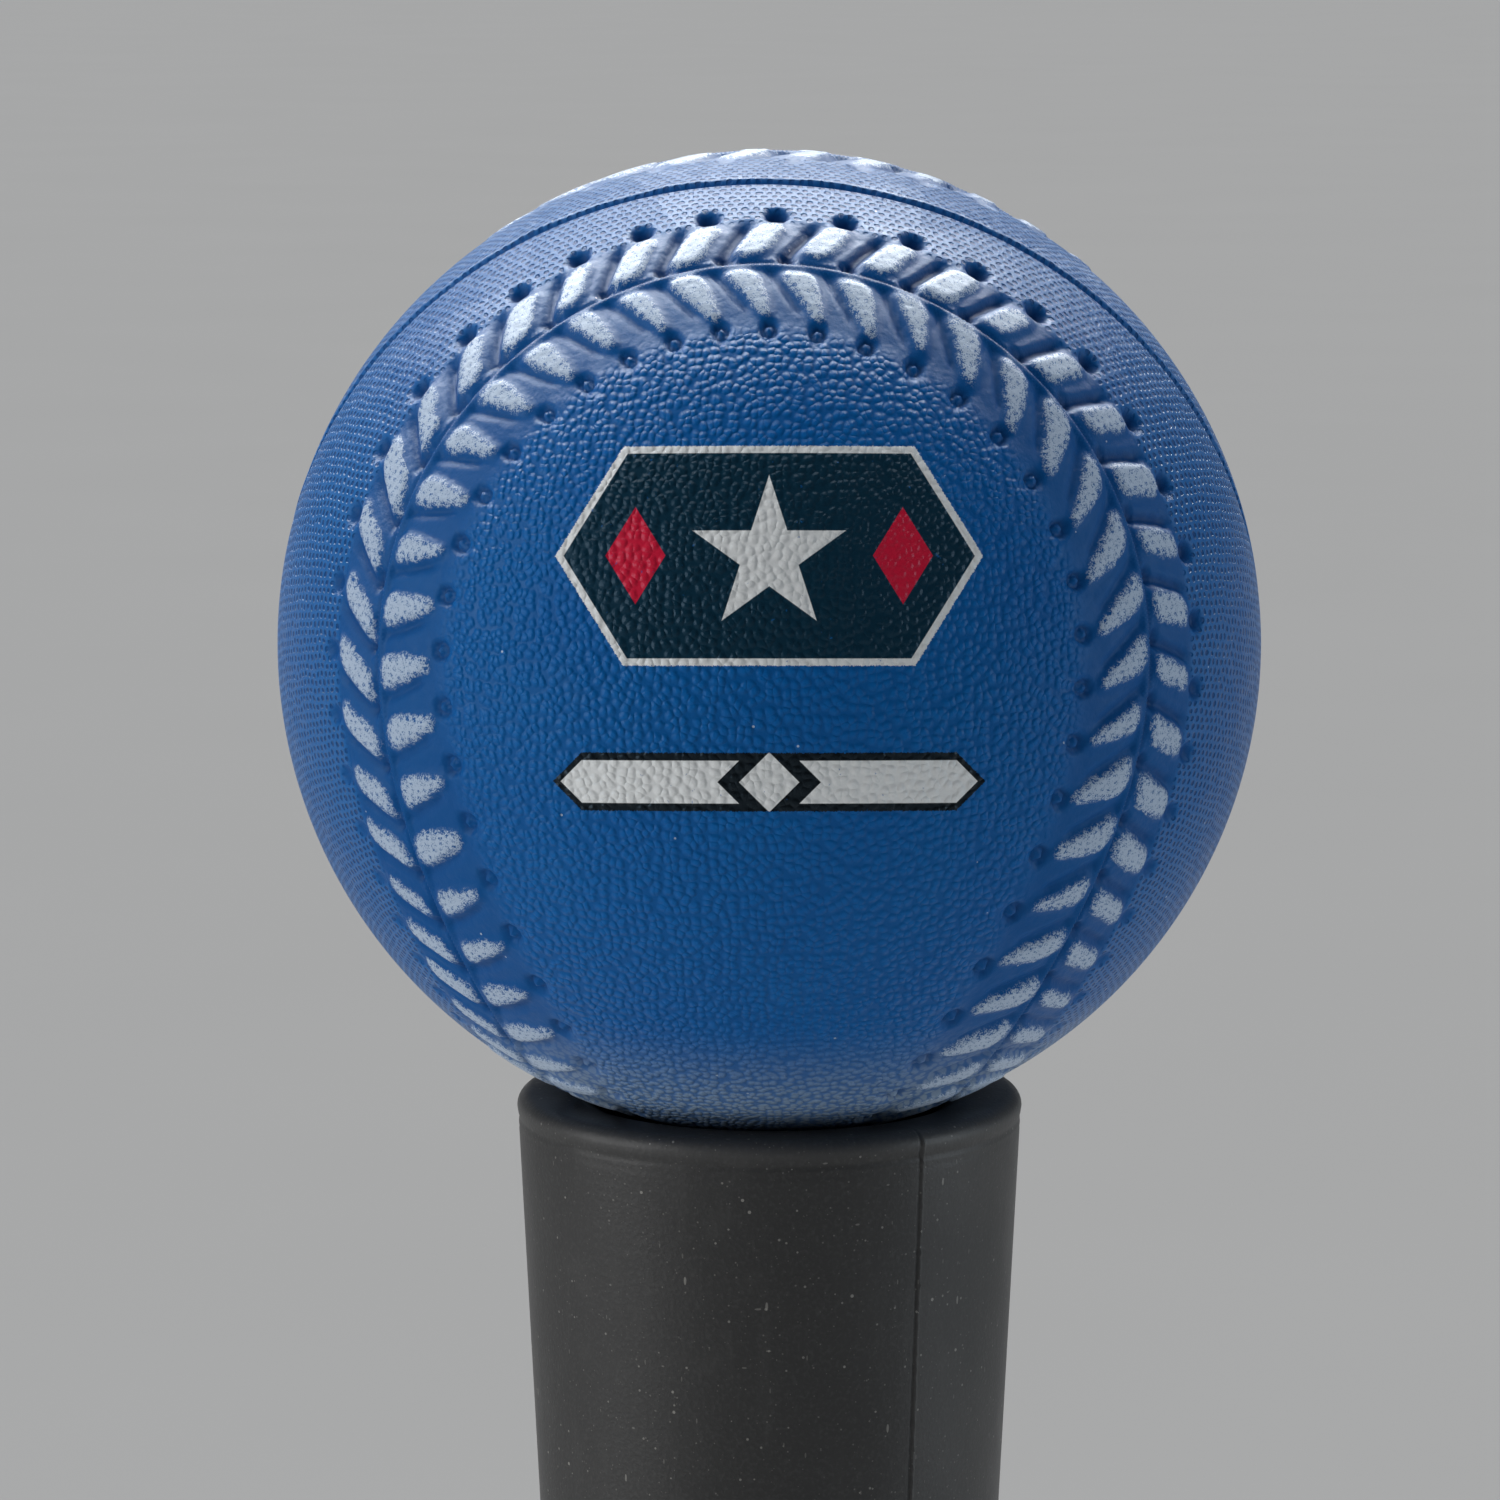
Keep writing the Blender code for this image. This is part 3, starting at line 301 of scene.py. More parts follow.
def ball_paint():
    """Pebbled and dimpled blue skin with painted shade in its hollows, a painted highlight on its raised net
    and a painted reflection underneath, speckled white paint on the stitches, and the two prints.
    """
    paint = Paint("ball_skin", 0.5)
    paint.shader.inputs["IOR"].default_value = 1.36
    paint.shader.inputs["Specular IOR Level"].default_value = 0.36
    paint.shader.inputs["Specular Tint"].default_value = (0.50, 0.76, 1.0, 1)
    outer, inner = paint.stored("outer_grain"), paint.stored("inner_grain")
    fine = paint.noise(0.11 * MM, 2)
    soft = paint.noise(1.1 * MM, 3)
    warp = paint.add("ShaderNodeTexNoise", {"Vector": paint.place, "Scale": 1 / (1.6 * MM), "Detail": 2.0})
    warp = warp.outputs["Color"]
    dimple_place = paint.pushed(paint.stored("lattice_place", "Vector"), warp, 0.7)
    dimple = paint.step(paint.lattice(dimple_place, GRAIN_PITCH), -0.1, 0.65, 1, 0)
    pebble_place = paint.pushed(paint.stored("pebble_place", "Vector"), warp, 0.6)
    pebble = paint.step(paint.cells(PEBBLE_SIZE, 0.8, pebble_place, flat=True), 0.12, 0.68, 1, 0)

    skin = paint.mix(paint.noise(9 * MM, 2), BALL_BLUE_DEEP, BALL_BLUE)
    # Painted highlight: the raised net between the dimples is painted lighter.
    lit_net = paint.math("MULTIPLY", dimple, outer)
    # Painted shade in the dimples' pits.
    pits = paint.math("MULTIPLY", paint.math("SUBTRACT", outer, lit_net), 0.75)
    skin = paint.mix(paint.math("MULTIPLY", lit_net, 0.20), skin, BALL_BLUE_WORN_AND_SHEEN)
    skin = paint.mix(pits, skin, BALL_BLUE_SHADE)
    # Painted shade in the pebbles' valleys.
    valley_shade = paint.math("MULTIPLY", paint.math("SUBTRACT", 1, pebble), inner)
    skin = paint.mix(paint.math("MULTIPLY", valley_shade, 0.30), skin, BALL_BLUE_SHADE)
    # Painted shade over the smooth stitch band, which has neither grain.
    smooth = paint.math("SUBTRACT", paint.math("SUBTRACT", 1, outer), inner)
    skin = paint.mix(paint.math("MULTIPLY", smooth, 0.45), skin, BALL_BLUE_SHADE)
    # Painted reflection: the underside is painted grey, most strongly on the pebbles' tops.
    reflection_cover = paint.math("MULTIPLY", paint.stored("underside_reflection"), paint.step(pebble, 0.1, 0.8, 0.30, 0.85))
    worn = paint.step(paint.noise(2.2 * MM, 5), 0.60, 0.80)
    skin = paint.mix(paint.math("MULTIPLY", worn, 0.10), skin, BALL_BLUE_WORN_AND_SHEEN)
    skin = paint.mix(reflection_cover, skin, UNDERSIDE_REFLECTION_GREY)
    # Painted shade in the seam's grooves and holes and along the parting line.
    skin = paint.mix(paint.stored("hollow_shade"), skin, BALL_BLUE_SHADE)

    # The stitches were dabbed with paint, which is thin and speckled towards its edges.
    ragged = paint.math("MULTIPLY", paint.math("SUBTRACT", soft, 0.5), 0.8)
    depth = paint.step(paint.math("ADD", paint.stored("stitch_paint"), ragged), -0.35, 0.85)
    weave = paint.math("MULTIPLY", paint.math("SUBTRACT", paint.noise(0.34 * MM, 1), 0.5), 0.35)
    weave = paint.math("MULTIPLY_ADD", dimple, 0.12, weave)
    specks = paint.step(paint.math("ADD", paint.math("ADD", fine, weave),
                                   paint.math("MULTIPLY", depth, 0.27)), 0.58, 0.86)
    cover = paint.math("MULTIPLY", specks, paint.step(depth, 0.05, 0.40))
    skin = paint.mix(cover, skin, STITCH_WHITE)

    printed, print_cover = prints(paint, fine)
    skin = paint.mix(print_cover, skin, printed)
    dust = paint.math("LESS_THAN", paint.cells(2.9 * MM), 0.032)
    skin = paint.mix(paint.math("MULTIPLY", dust, 0.6), skin, DUST_WHITE)

    relief = paint.bump(dimple, 0.12 * MM, outer)
    relief = paint.bump(pebble, 0.105 * MM, inner, relief)
    relief = paint.bump(soft, 0.08 * MM, 0.6, relief)
    relief = paint.bump(paint.noise(0.5 * MM, 2), 0.05 * MM, 0.8, relief)
    relief = paint.bump(fine, 0.015 * MM, 0.6, relief)
    gloss = paint.step(soft, 0.3, 0.7, 0.32, 0.44)
    gloss = paint.math("ADD", gloss, paint.math("MULTIPLY", smooth, 0.10))
    gloss = paint.math("SUBTRACT", gloss, paint.math("MULTIPLY", print_cover, 0.10))
    return paint.finish(skin, gloss, relief)


def prints(paint, fine):
    """The badge and the bar under it, both generic: their colour, and how far they cover the skin."""
    across = paint.stored("print_across")
    up = paint.stored("print_up")
    facing = paint.math("GREATER_THAN", paint.stored("print_facing"), 0.5)
    badge_up = paint.math("SUBTRACT", up, BADGE_HEIGHT)
    side = paint.math("ABSOLUTE", across)
    height = paint.math("ABSOLUTE", badge_up)

    # Signed distances inwards from each outline, in millimetres.
    end = paint.math("SUBTRACT", BADGE_HALF_LENGTH, side)
    end = paint.math("SUBTRACT", end, paint.math("MULTIPLY", height, math.tan(BADGE_END_SLOPE)))
    badge = paint.math("MINIMUM", paint.math("MULTIPLY", end, math.cos(BADGE_END_SLOPE)),
                       paint.math("SUBTRACT", BADGE_HALF_HEIGHT, height))
    star = star_distance(paint, across, badge_up, STAR_RADIUS)
    rhomb_side = paint.math("ABSOLUTE", paint.math("SUBTRACT", side, RHOMB_PLACE))
    rhomb_reach = paint.math("ADD", rhomb_side, paint.math("MULTIPLY", height, RHOMB_SLOPE))
    rhomb = paint.math("SUBTRACT", RHOMB_HALF_LENGTH, rhomb_reach)

    bar_height = paint.math("ABSOLUTE", paint.math("SUBTRACT", up, BAR_HEIGHT))
    bar_reach = paint.math("ADD", side, bar_height)
    bar = paint.math("SUBTRACT", BAR_HALF_LENGTH, bar_reach)
    bar = paint.math("MINIMUM", bar, paint.math("SUBTRACT", BAR_HALF_HEIGHT, bar_height))
    gem = paint.math("SUBTRACT", GEM_HALF, bar_reach)
    gem_gap = paint.math("SUBTRACT", GEM_GAP, bar_reach)

    def inside(distance, margin=0.0):
        return paint.step(distance, margin - PRINT_EDGE, margin + PRINT_EDGE)

    colour = paint.mix(inside(badge, BADGE_BORDER), PRINT_WHITE, PRINT_NAVY)
    colour = paint.mix(inside(star), colour, PRINT_WHITE)
    colour = paint.mix(inside(rhomb), colour, PRINT_RED)
    in_bar = paint.math("LESS_THAN", up, (BADGE_HEIGHT + BAR_HEIGHT) / 2 - 1)
    white = paint.math("MULTIPLY", inside(bar, BAR_BORDER), paint.math("SUBTRACT", 1, inside(gem_gap)))
    white = paint.math("MAXIMUM", white, inside(gem, GEM_BORDER))
    bar_colour = paint.mix(white, PRINT_BLACK, PRINT_WHITE)
    colour = paint.mix(in_bar, colour, bar_colour)

    ragged = paint.math("MULTIPLY", paint.math("SUBTRACT", fine, 0.5), 0.25)
    cover = inside(paint.math("ADD", paint.math("MAXIMUM", badge, bar), ragged), 0.05)
    missed = paint.step(paint.noise(0.5 * MM, 4), 0.70, 0.74)
    cover = paint.math("MULTIPLY", cover, paint.math("SUBTRACT", 1, paint.math("MULTIPLY", missed, 0.6)))
    return colour, paint.math("MULTIPLY", cover, facing)


def star_distance(paint, across, up, radius):
    """How far inside a five-pointed star a point is: the angle is folded into half a point of the star."""
    fifth = 2 * math.pi / 5
    turn = paint.math("ARCTAN2", across, up)
    fold = paint.math("ABSOLUTE", paint.math("WRAP", turn, fifth / 2, -fifth / 2))
    reach = paint.math("SQRT", paint.math("ADD", paint.math("POWER", across, 2), paint.math("POWER", up, 2)))
    ahead = paint.math("MULTIPLY", reach, paint.math("COSINE", fold))
    aside = paint.math("MULTIPLY", reach, paint.math("SINE", fold))
    inner = radius * math.sin(fifth / 4) / math.sin(fifth / 4 + fifth / 2)
    notch = Vector((inner * math.cos(fifth / 2), inner * math.sin(fifth / 2)))
    edge = Vector((radius - notch.x, -notch.y)).normalized()
    normal = Vector((-edge.y, edge.x))
    if normal.x < 0:
        normal.negate()
    level = radius * normal.x
    return paint.math("SUBTRACT", level, paint.math("ADD", paint.math("MULTIPLY", ahead, normal.x),
                                                    paint.math("MULTIPLY", aside, normal.y)))


# Dust and lint on the rubber top, as (spacing in millimetres, size as a share of it, strength, stretch).
LINT_UP = (1, 1, 0.30)
LINT_ACROSS = (0.3, 1, 1)
TOP_DUST = ((0.55, 0.100, 0.16, None), (0.9, 0.080, 0.26, None), (1.5, 0.065, 0.45, None),
            (2.8, 0.046, 0.60, None), (1.1, 0.055, 0.22, LINT_UP), (2.0, 0.050, 0.45, LINT_UP),
            (1.5, 0.050, 0.30, LINT_ACROSS))
DUST_GREY = (0.36, 0.35, 0.32)


def top_paint():
    """Satin charcoal rubber with a moulded bloom, drag marks, a paler half, a painted highlight along the
    lip, and dust and lint.
    """
    paint = Paint("top_rubber", 0.5)
    bloom = paint.noise(12 * MM, 4)
    streak = paint.noise(1.6 * MM, 4, paint.stretched((1, 1, 0.12)))
    rings = paint.noise(1.2 * MM, 3, paint.stretched((0.05, 0.05, 1)))
    fine = paint.noise(0.3 * MM, 2)
    colour = paint.mix(bloom, (0.013, 0.013, 0.013), (0.027, 0.027, 0.027))
    colour = paint.mix(paint.math("MULTIPLY", paint.stored("far_half"), 0.45), colour, (0.046, 0.046, 0.046))
    colour = paint.mix(paint.step(streak, 0.55, 0.75, 0, 0.20), colour, (0.048, 0.048, 0.047))
    colour = paint.mix(paint.step(paint.noise(5 * MM, 7), 0.55, 0.72, 0, 0.22), colour, (0.060, 0.060, 0.058))
    colour = paint.mix(paint.step(fine, 0.45, 0.80, 0, 0.30), colour, (0.070, 0.070, 0.069))
    # Painted highlight along the rim's rounding.
    colour = paint.mix(paint.math("MULTIPLY", paint.stored("lip"), 0.30), colour, (0.085, 0.085, 0.084))
    for spacing, size, strength, stretch in TOP_DUST:
        place = paint.stretched(stretch) if stretch else None
        dust = paint.math("LESS_THAN", paint.cells(spacing * MM, 1.0, place), size)
        colour = paint.mix(paint.math("MULTIPLY", dust, strength), colour, DUST_GREY)
    relief = paint.bump(streak, 0.05 * MM, 0.6)
    relief = paint.bump(rings, 0.05 * MM, 0.4, relief)
    relief = paint.bump(fine, 0.035 * MM, 0.8, relief)
    return paint.finish(colour, paint.step(bloom, 0.3, 0.7, 0.44, 0.58), relief)


def slab_paint(name, worn):
    """Heavy black rubber: pebbled, greyed by dust, with scuffs that are thick where it is worn."""
    paint = Paint(name, 0.7)
    dusty = paint.noise(30 * MM, 5)
    pebble = paint.step(paint.cells(1.5 * MM, 0.8), 0.15, 0.65, 1, 0)
    scuff = paint.step(paint.noise(5 * MM, 8), 0.60 - 0.12 * worn, 0.74, 0, 0.45)
    scrape = paint.step(paint.noise(1.5 * MM, 3, paint.stretched((1, 0.12, 1))), 0.62, 0.72, 0, 0.25)
    colour = paint.mix(dusty, (0.020, 0.020, 0.021), (0.040, 0.039, 0.037))
    colour = paint.mix(scuff, colour, (0.110, 0.104, 0.094))
    colour = paint.mix(scrape, colour, (0.085, 0.083, 0.078))
    grit = paint.math("LESS_THAN", paint.cells(7 * MM), 0.045)
    colour = paint.mix(paint.math("MULTIPLY", grit, 0.6), colour, (0.30, 0.26, 0.19))
    relief = paint.bump(pebble, 0.16 * MM, 1 - 0.6 * worn)
    relief = paint.bump(paint.noise(0.4 * MM, 3), 0.03 * MM, 0.7, relief)
    return paint.finish(colour, paint.step(dusty, 0.3, 0.7, 0.58, 0.78), relief)


def panel_paint(name, worn):
    """White grained plastic with field dirt in the grain, scratches, and grime along its edges."""
    paint = Paint(name, 0.5)
    grain = paint.step(paint.cells(0.9 * MM, 1.0), 0.15, 0.7, 1, 0)
    dirt = paint.step(paint.noise(34 * MM, 8), 0.50, 0.76)
    smear = paint.step(paint.noise(9 * MM, 6, paint.stretched((1, 0.3, 1))), 0.56, 0.74)
    pits = paint.step(grain, 0.0, 0.35, 1, 0)
    colour = paint.mix(paint.noise(60 * MM, 2), (0.53, 0.52, 0.49), (0.59, 0.58, 0.55))
    colour = paint.mix(paint.math("MULTIPLY", dirt, 0.30 + 0.4 * worn), colour, (0.40, 0.355, 0.28))
    colour = paint.mix(paint.math("MULTIPLY", smear, 0.22), colour, (0.33, 0.31, 0.27))
    colour = paint.mix(paint.math("MULTIPLY", pits, 0.20), colour, (0.34, 0.31, 0.26))
    for place in ((0.05, 1, 1), (1, 0.06, 1)):
        scratch = paint.step(paint.noise(1.1 * MM, 2, paint.stretched(place)), 0.70, 0.75, 0, 0.35)
        colour = paint.mix(scratch, colour, (0.42, 0.41, 0.38))
    relief = paint.bump(grain, 0.09 * MM, 0.8)
    return paint.finish(colour, paint.step(dirt, 0, 1, 0.42, 0.62), relief)


def moulded_paint(name, colour, light, worn):
    """Glass-filled nylon with a fine spark-eroded texture and lighter scuffs."""
    paint = Paint(name, 0.5)
    scuff = paint.step(paint.noise(4 * MM, 8), 0.60 - 0.12 * worn, 0.74)
    cloud = paint.noise(14 * MM, 3)
    fine = paint.noise(0.3 * MM, 3)
    dark = tuple(0.75 * part for part in colour)
    shade = paint.mix(cloud, dark, colour)
    shade = paint.mix(paint.math("MULTIPLY", scuff, 0.30 + 0.35 * worn), shade, light)
    nick = paint.step(paint.noise(0.9 * MM, 2, paint.stretched((1, 1, 0.08))), 0.70, 0.74, 0, 0.4)
    shade = paint.mix(nick, shade, light)
    relief = paint.bump(fine, 0.035 * MM, 0.8)
    relief = paint.bump(cloud, 0.2 * MM, 0.3, relief)
    return paint.finish(shade, paint.step(fine, 0.3, 0.7, 0.40, 0.56), relief)


def steel_paint(name, base, tint, drawn, worn):
    """Bright metal with fine drawing lines, a mottled plating and faint rub marks."""
    paint = Paint(name, 0.3, 1.0)
    lines = paint.noise(0.30 * MM, 3, paint.stretched(drawn))
    mottle = paint.noise(3 * MM, 5)
    stain = paint.step(paint.noise(6 * MM, 7), 0.60, 0.76, 0, 0.5)
    colour = paint.mix(mottle, base, tint)
    colour = paint.mix(stain, colour, (0.36, 0.34, 0.31))
    rough = paint.math("ADD", paint.step(lines, 0.3, 0.7, 0.20 - 0.04 * worn, 0.38),
                       paint.math("MULTIPLY", stain, 0.25))
    relief = paint.bump(lines, 0.012 * MM, 0.7)
    return paint.finish(colour, rough, relief)


def powder_paint(name, worn):
    """Black powder coat with its fine orange peel, rubbed grey in places."""
    paint = Paint(name, 0.38)
    peel = paint.noise(0.9 * MM, 2)
    rub = paint.step(paint.noise(7 * MM, 7), 0.62 - 0.15 * worn, 0.78)
    drag = paint.step(paint.noise(1.0 * MM, 3, paint.stretched((1, 1, 0.04))), 0.62, 0.72, 0, 0.22)
    colour = paint.mix(paint.noise(25 * MM, 3), (0.016, 0.016, 0.018), (0.026, 0.026, 0.028))
    colour = paint.mix(paint.math("MULTIPLY", rub, 0.25 + 0.4 * worn), colour, (0.10, 0.10, 0.10))
    colour = paint.mix(drag, colour, (0.075, 0.075, 0.075))
    dust = paint.math("LESS_THAN", paint.cells(3.4 * MM), 0.05)
    colour = paint.mix(paint.math("MULTIPLY", dust, 0.4), colour, (0.30, 0.29, 0.26))
    relief = paint.bump(peel, 0.07 * MM, 0.7)
    return paint.finish(colour, paint.step(peel, 0.35, 0.65, 0.32, 0.44), relief)


def floor_paint():
    """The studio's pale floor."""
    paint = Paint("studio_floor", 0.9)
    return paint.finish(paint.mix(paint.noise(0.4, 2), (0.47, 0.47, 0.465), (0.49, 0.49, 0.485)))


# ---------------------------------------------------------------- meshes

def mesh_object(name, points, faces, finish, smooth=True):
    """Makes a mesh piece from its points, in metres, and its faces."""
    mesh = bpy.data.meshes.new(name)
    mesh.from_pydata(np.asarray(points).tolist(), [], [list(face) for face in faces])
    mesh.materials.append(finish)
    if smooth:
        mesh.shade_smooth()
    mesh.update()
    piece = bpy.data.objects.new(name, mesh)
    bpy.context.scene.collection.objects.link(piece)
    return piece


def store(piece, name, values):
    """Keeps one number, or one place, for each point of the piece, for its material to read."""
    values = np.asarray(values, np.float32)
    kind, field = ("FLOAT", "value") if values.ndim == 1 else ("FLOAT_VECTOR", "vector")
    piece.data.attributes.new(name, kind, "POINT").data.foreach_set(field, values.ravel())


def smooth_step(value, low, high):
    share = np.clip((value - low) / (high - low), 0, 1)
    return share * share * (3 - 2 * share)


def unit(vectors):
    return vectors / np.linalg.norm(vectors, axis=-1, keepdims=True)


# ---------------------------------------------------------------- ball

def view_axes():
    """The viewer's right, up and backward directions, as columns."""
    sine, cosine = math.sin(CAMERA_ELEVATION), math.cos(CAMERA_ELEVATION)
    return np.array([[1, 0, 0], [0, sine, -cosine], [0, cosine, sine]])


def ball_turn():
    """The turn from the seam formula's axes to the world's, and the parting plane's normal."""
    front = np.array([math.sin(LOBE_AZIMUTH) * math.cos(LOBE_ELEVATION), math.sin(LOBE_ELEVATION),
                      math.cos(LOBE_AZIMUTH) * math.cos(LOBE_ELEVATION)])
    up = unit(np.array([0, 1, 0]) - front * front[1])
    upright = math.cos(LOBE_ROLL) * up + math.sin(LOBE_ROLL) * np.cross(up, front)
    own = np.column_stack([front, np.cross(upright, front), upright])
    first = np.array([1, 1, 0]) / math.sqrt(2)
    third = np.array([0, 0, 1])
    formula = np.column_stack([first, np.cross(third, first), third])
    return view_axes() @ own @ formula.T, view_axes() @ front


def seam_direction(turn, angle):
    """Directions from the ball's middle to its seam."""
    third, fifth, sixth = SEAM_HARMONIC_3, SEAM_HARMONIC_5, SEAM_HARMONIC_6
    first = 1 - third
    lift = 2 * math.sqrt(first * third)
    curve = np.column_stack([
        first * np.cos(angle) + third * np.cos(3 * angle) + fifth * np.cos(5 * angle),
        first * np.sin(angle) - third * np.sin(3 * angle) + fifth * np.sin(5 * angle),
        lift * np.sin(2 * angle) + sixth * np.sin(6 * angle)])
    return unit(curve) @ turn.T


class Seam:
    """The seam by its length in millimetres: the direction to any place on it, and across it there."""

    def __init__(self, turn):
        self.turn = turn
        self.angle = np.linspace(0, 2 * math.pi, 20001)
        points = seam_direction(turn, self.angle)
        pieces = np.linalg.norm(np.diff(points, axis=0), axis=1)
        self.length = np.concatenate([[0], np.cumsum(pieces)]) * BALL_RADIUS_MM
        self.total = self.length[-1]

    def frame(self, along):
        angle = np.interp(np.mod(along, self.total), self.length, self.angle)
        centre = seam_direction(self.turn, angle)
        ahead = unit(seam_direction(self.turn, angle + 1e-4) - centre)
        return centre, np.cross(centre, ahead)


def drift(around, waves):
    """A quantity that wanders along the seam, at an angle round it: its mean, and its waves."""
    return waves[0] + sum(sine * np.sin(count * around) + cosine * np.cos(count * around)
                          for count, sine, cosine in waves[1:])


def stitch_relief(along, across, pitch):
    """The seam band's height, and how far inside its stitch each point is, give or take that stitch's own
    paint, both in millimetres."""
    chance = np.random.default_rng(7)
    outer = across > 0
    reach = np.abs(across)
    row = outer.astype(int)
    around = along * 2 * math.pi / (pitch * STITCHES)
    lean = np.radians(np.where(outer, drift(around, OUTER_LEAN), drift(around, INNER_LEAN)))
    start = FIRST_STITCH + np.where(outer, drift(around, OUTER_DRIFT), drift(around, INNER_DRIFT))
    leaned = along - start - np.tan(lean) * (reach - LEAN_PIVOT)
    number = np.floor(leaned / pitch + 0.66)
    stitch = number.astype(int) % STITCHES
    swell = chance.normal(1, 0.06, (2, STITCHES))[row, stitch]
    slide = chance.normal(0, 0.12, (2, STITCHES))[row, stitch]
    bright = chance.normal(0, 0.10, (2, STITCHES))[row, stitch]
    side = (leaned - number * pitch) * np.cos(lean)
    taper = np.clip((reach - TAPER_START) / TAPER_LENGTH, 0, 1)
    outer_half = STITCH_HALF_WIDTH[0] - STITCH_NARROWING[0] * taper
    inner_half = STITCH_HALF_WIDTH[1] - STITCH_NARROWING[1] * taper ** 1.5
    half = np.where(outer, outer_half, inner_half) * swell

    # A patch with round corners; the inner row's is longer and drawn to a point.
    middle = np.where(outer, *STITCH_PLACE) + slide
    half_long = np.where(outer, *STITCH_HALF_LENGTH)
    corner = np.minimum(half * 0.9, STITCH_CORNER)
    far = np.abs(reach - middle) - half_long + corner
    wide = np.abs(side) - half + corner
    patch = corner - np.hypot(np.maximum(far, 0), np.maximum(wide, 0)) - np.minimum(np.maximum(far, wide), 0)

    def beside(shift):
        """How far along the seam each point is from its stitch's start moved on by shift."""
        return np.mod(along - start - shift + pitch / 2, pitch) - pitch / 2

    channel_end = [np.where(outer, *ends) for ends in zip(OUTER_CHANNEL_END, INNER_CHANNEL_END)]
    channel = smooth_step(reach, *CHANNEL_START) * (1 - smooth_step(reach, *channel_end))
    height = -CHANNEL_DEPTH * channel
    height += RIDGE_HEIGHT * smooth_step(patch, *RIDGE_WALL)
    crisp = drift(around, CRISPNESS)
    groove = 1 - smooth_step(np.abs(side + half + GROOVE_GAP), *GROOVE_WALL)
    groove *= smooth_step(reach, *GROOVE_START) * (1 - smooth_step(reach, *GROOVE_END))
    height -= GROOVE_DEPTH * np.where(outer, 0.35 + 0.65 * crisp, 0.45) * groove
    pit = np.hypot(beside(PIT_SHIFT) / PIT_HALF_LENGTH, (across - PIT_PLACE) / PIT_HALF_WIDTH)
    height -= PIT_DEPTH * (1 - smooth_step(pit, *PIT_WALL))
    for rise, place, width in SEAM_LINES:
        height += rise * np.exp(-((across - place) / width) ** 2)

    shift, place = OUTER_HOLE
    radius = np.hypot(beside(shift), across - place) / HOLE_RADIUS
    height -= OUTER_HOLE_DEPTH * crisp * (1 - smooth_step(radius, *OUTER_HOLE_WALL))
    shift, place = INNER_HOLE
    radius = np.hypot(beside(shift), across - place) / HOLE_RADIUS
    height -= INNER_HOLE_DEPTH * (1 - smooth_step(np.abs(radius - INNER_RING), *INNER_RING_WALL))
    return height, patch + bright


def triangulate(directions):
    """Joins points on a sphere into triangles: it flattens them from the sphere's lowest point, where the
    last opening is closed by a fan."""
    flat = directions[:, :2] / (1 + directions[:, 2:3])
    faces = delaunay_2d_cdt([Vector(point) for point in flat.tolist()], [], [], 0, 1e-9)[2]
    faces = np.array(faces)
    edges = np.sort(np.concatenate([faces[:, [0, 1]], faces[:, [1, 2]], faces[:, [2, 0]]]), axis=1)
    once, counts = np.unique(edges, axis=0, return_counts=True)
    border = once[counts == 1]
    ring = [int(border[0][0]), int(border[0][1])]
    links = {}
    for first, second in border.tolist():
        links.setdefault(first, []).append(second)
        links.setdefault(second, []).append(first)
    while len(ring) < len(border):
        ring.append(next(spot for spot in links[ring[-1]] if spot != ring[-2]))
    fan = [(ring[0], ring[step], ring[step + 1]) for step in range(1, len(ring) - 1)]
    faces = np.concatenate([faces, np.array(fan)])
    normals = np.cross(directions[faces[:, 1]] - directions[faces[:, 0]],
                       directions[faces[:, 2]] - directions[faces[:, 0]])
    inward = np.einsum("ij,ij->i", normals, directions[faces[:, 0]]) < 0
    faces[inward] = faces[inward][:, ::-1]
    return faces


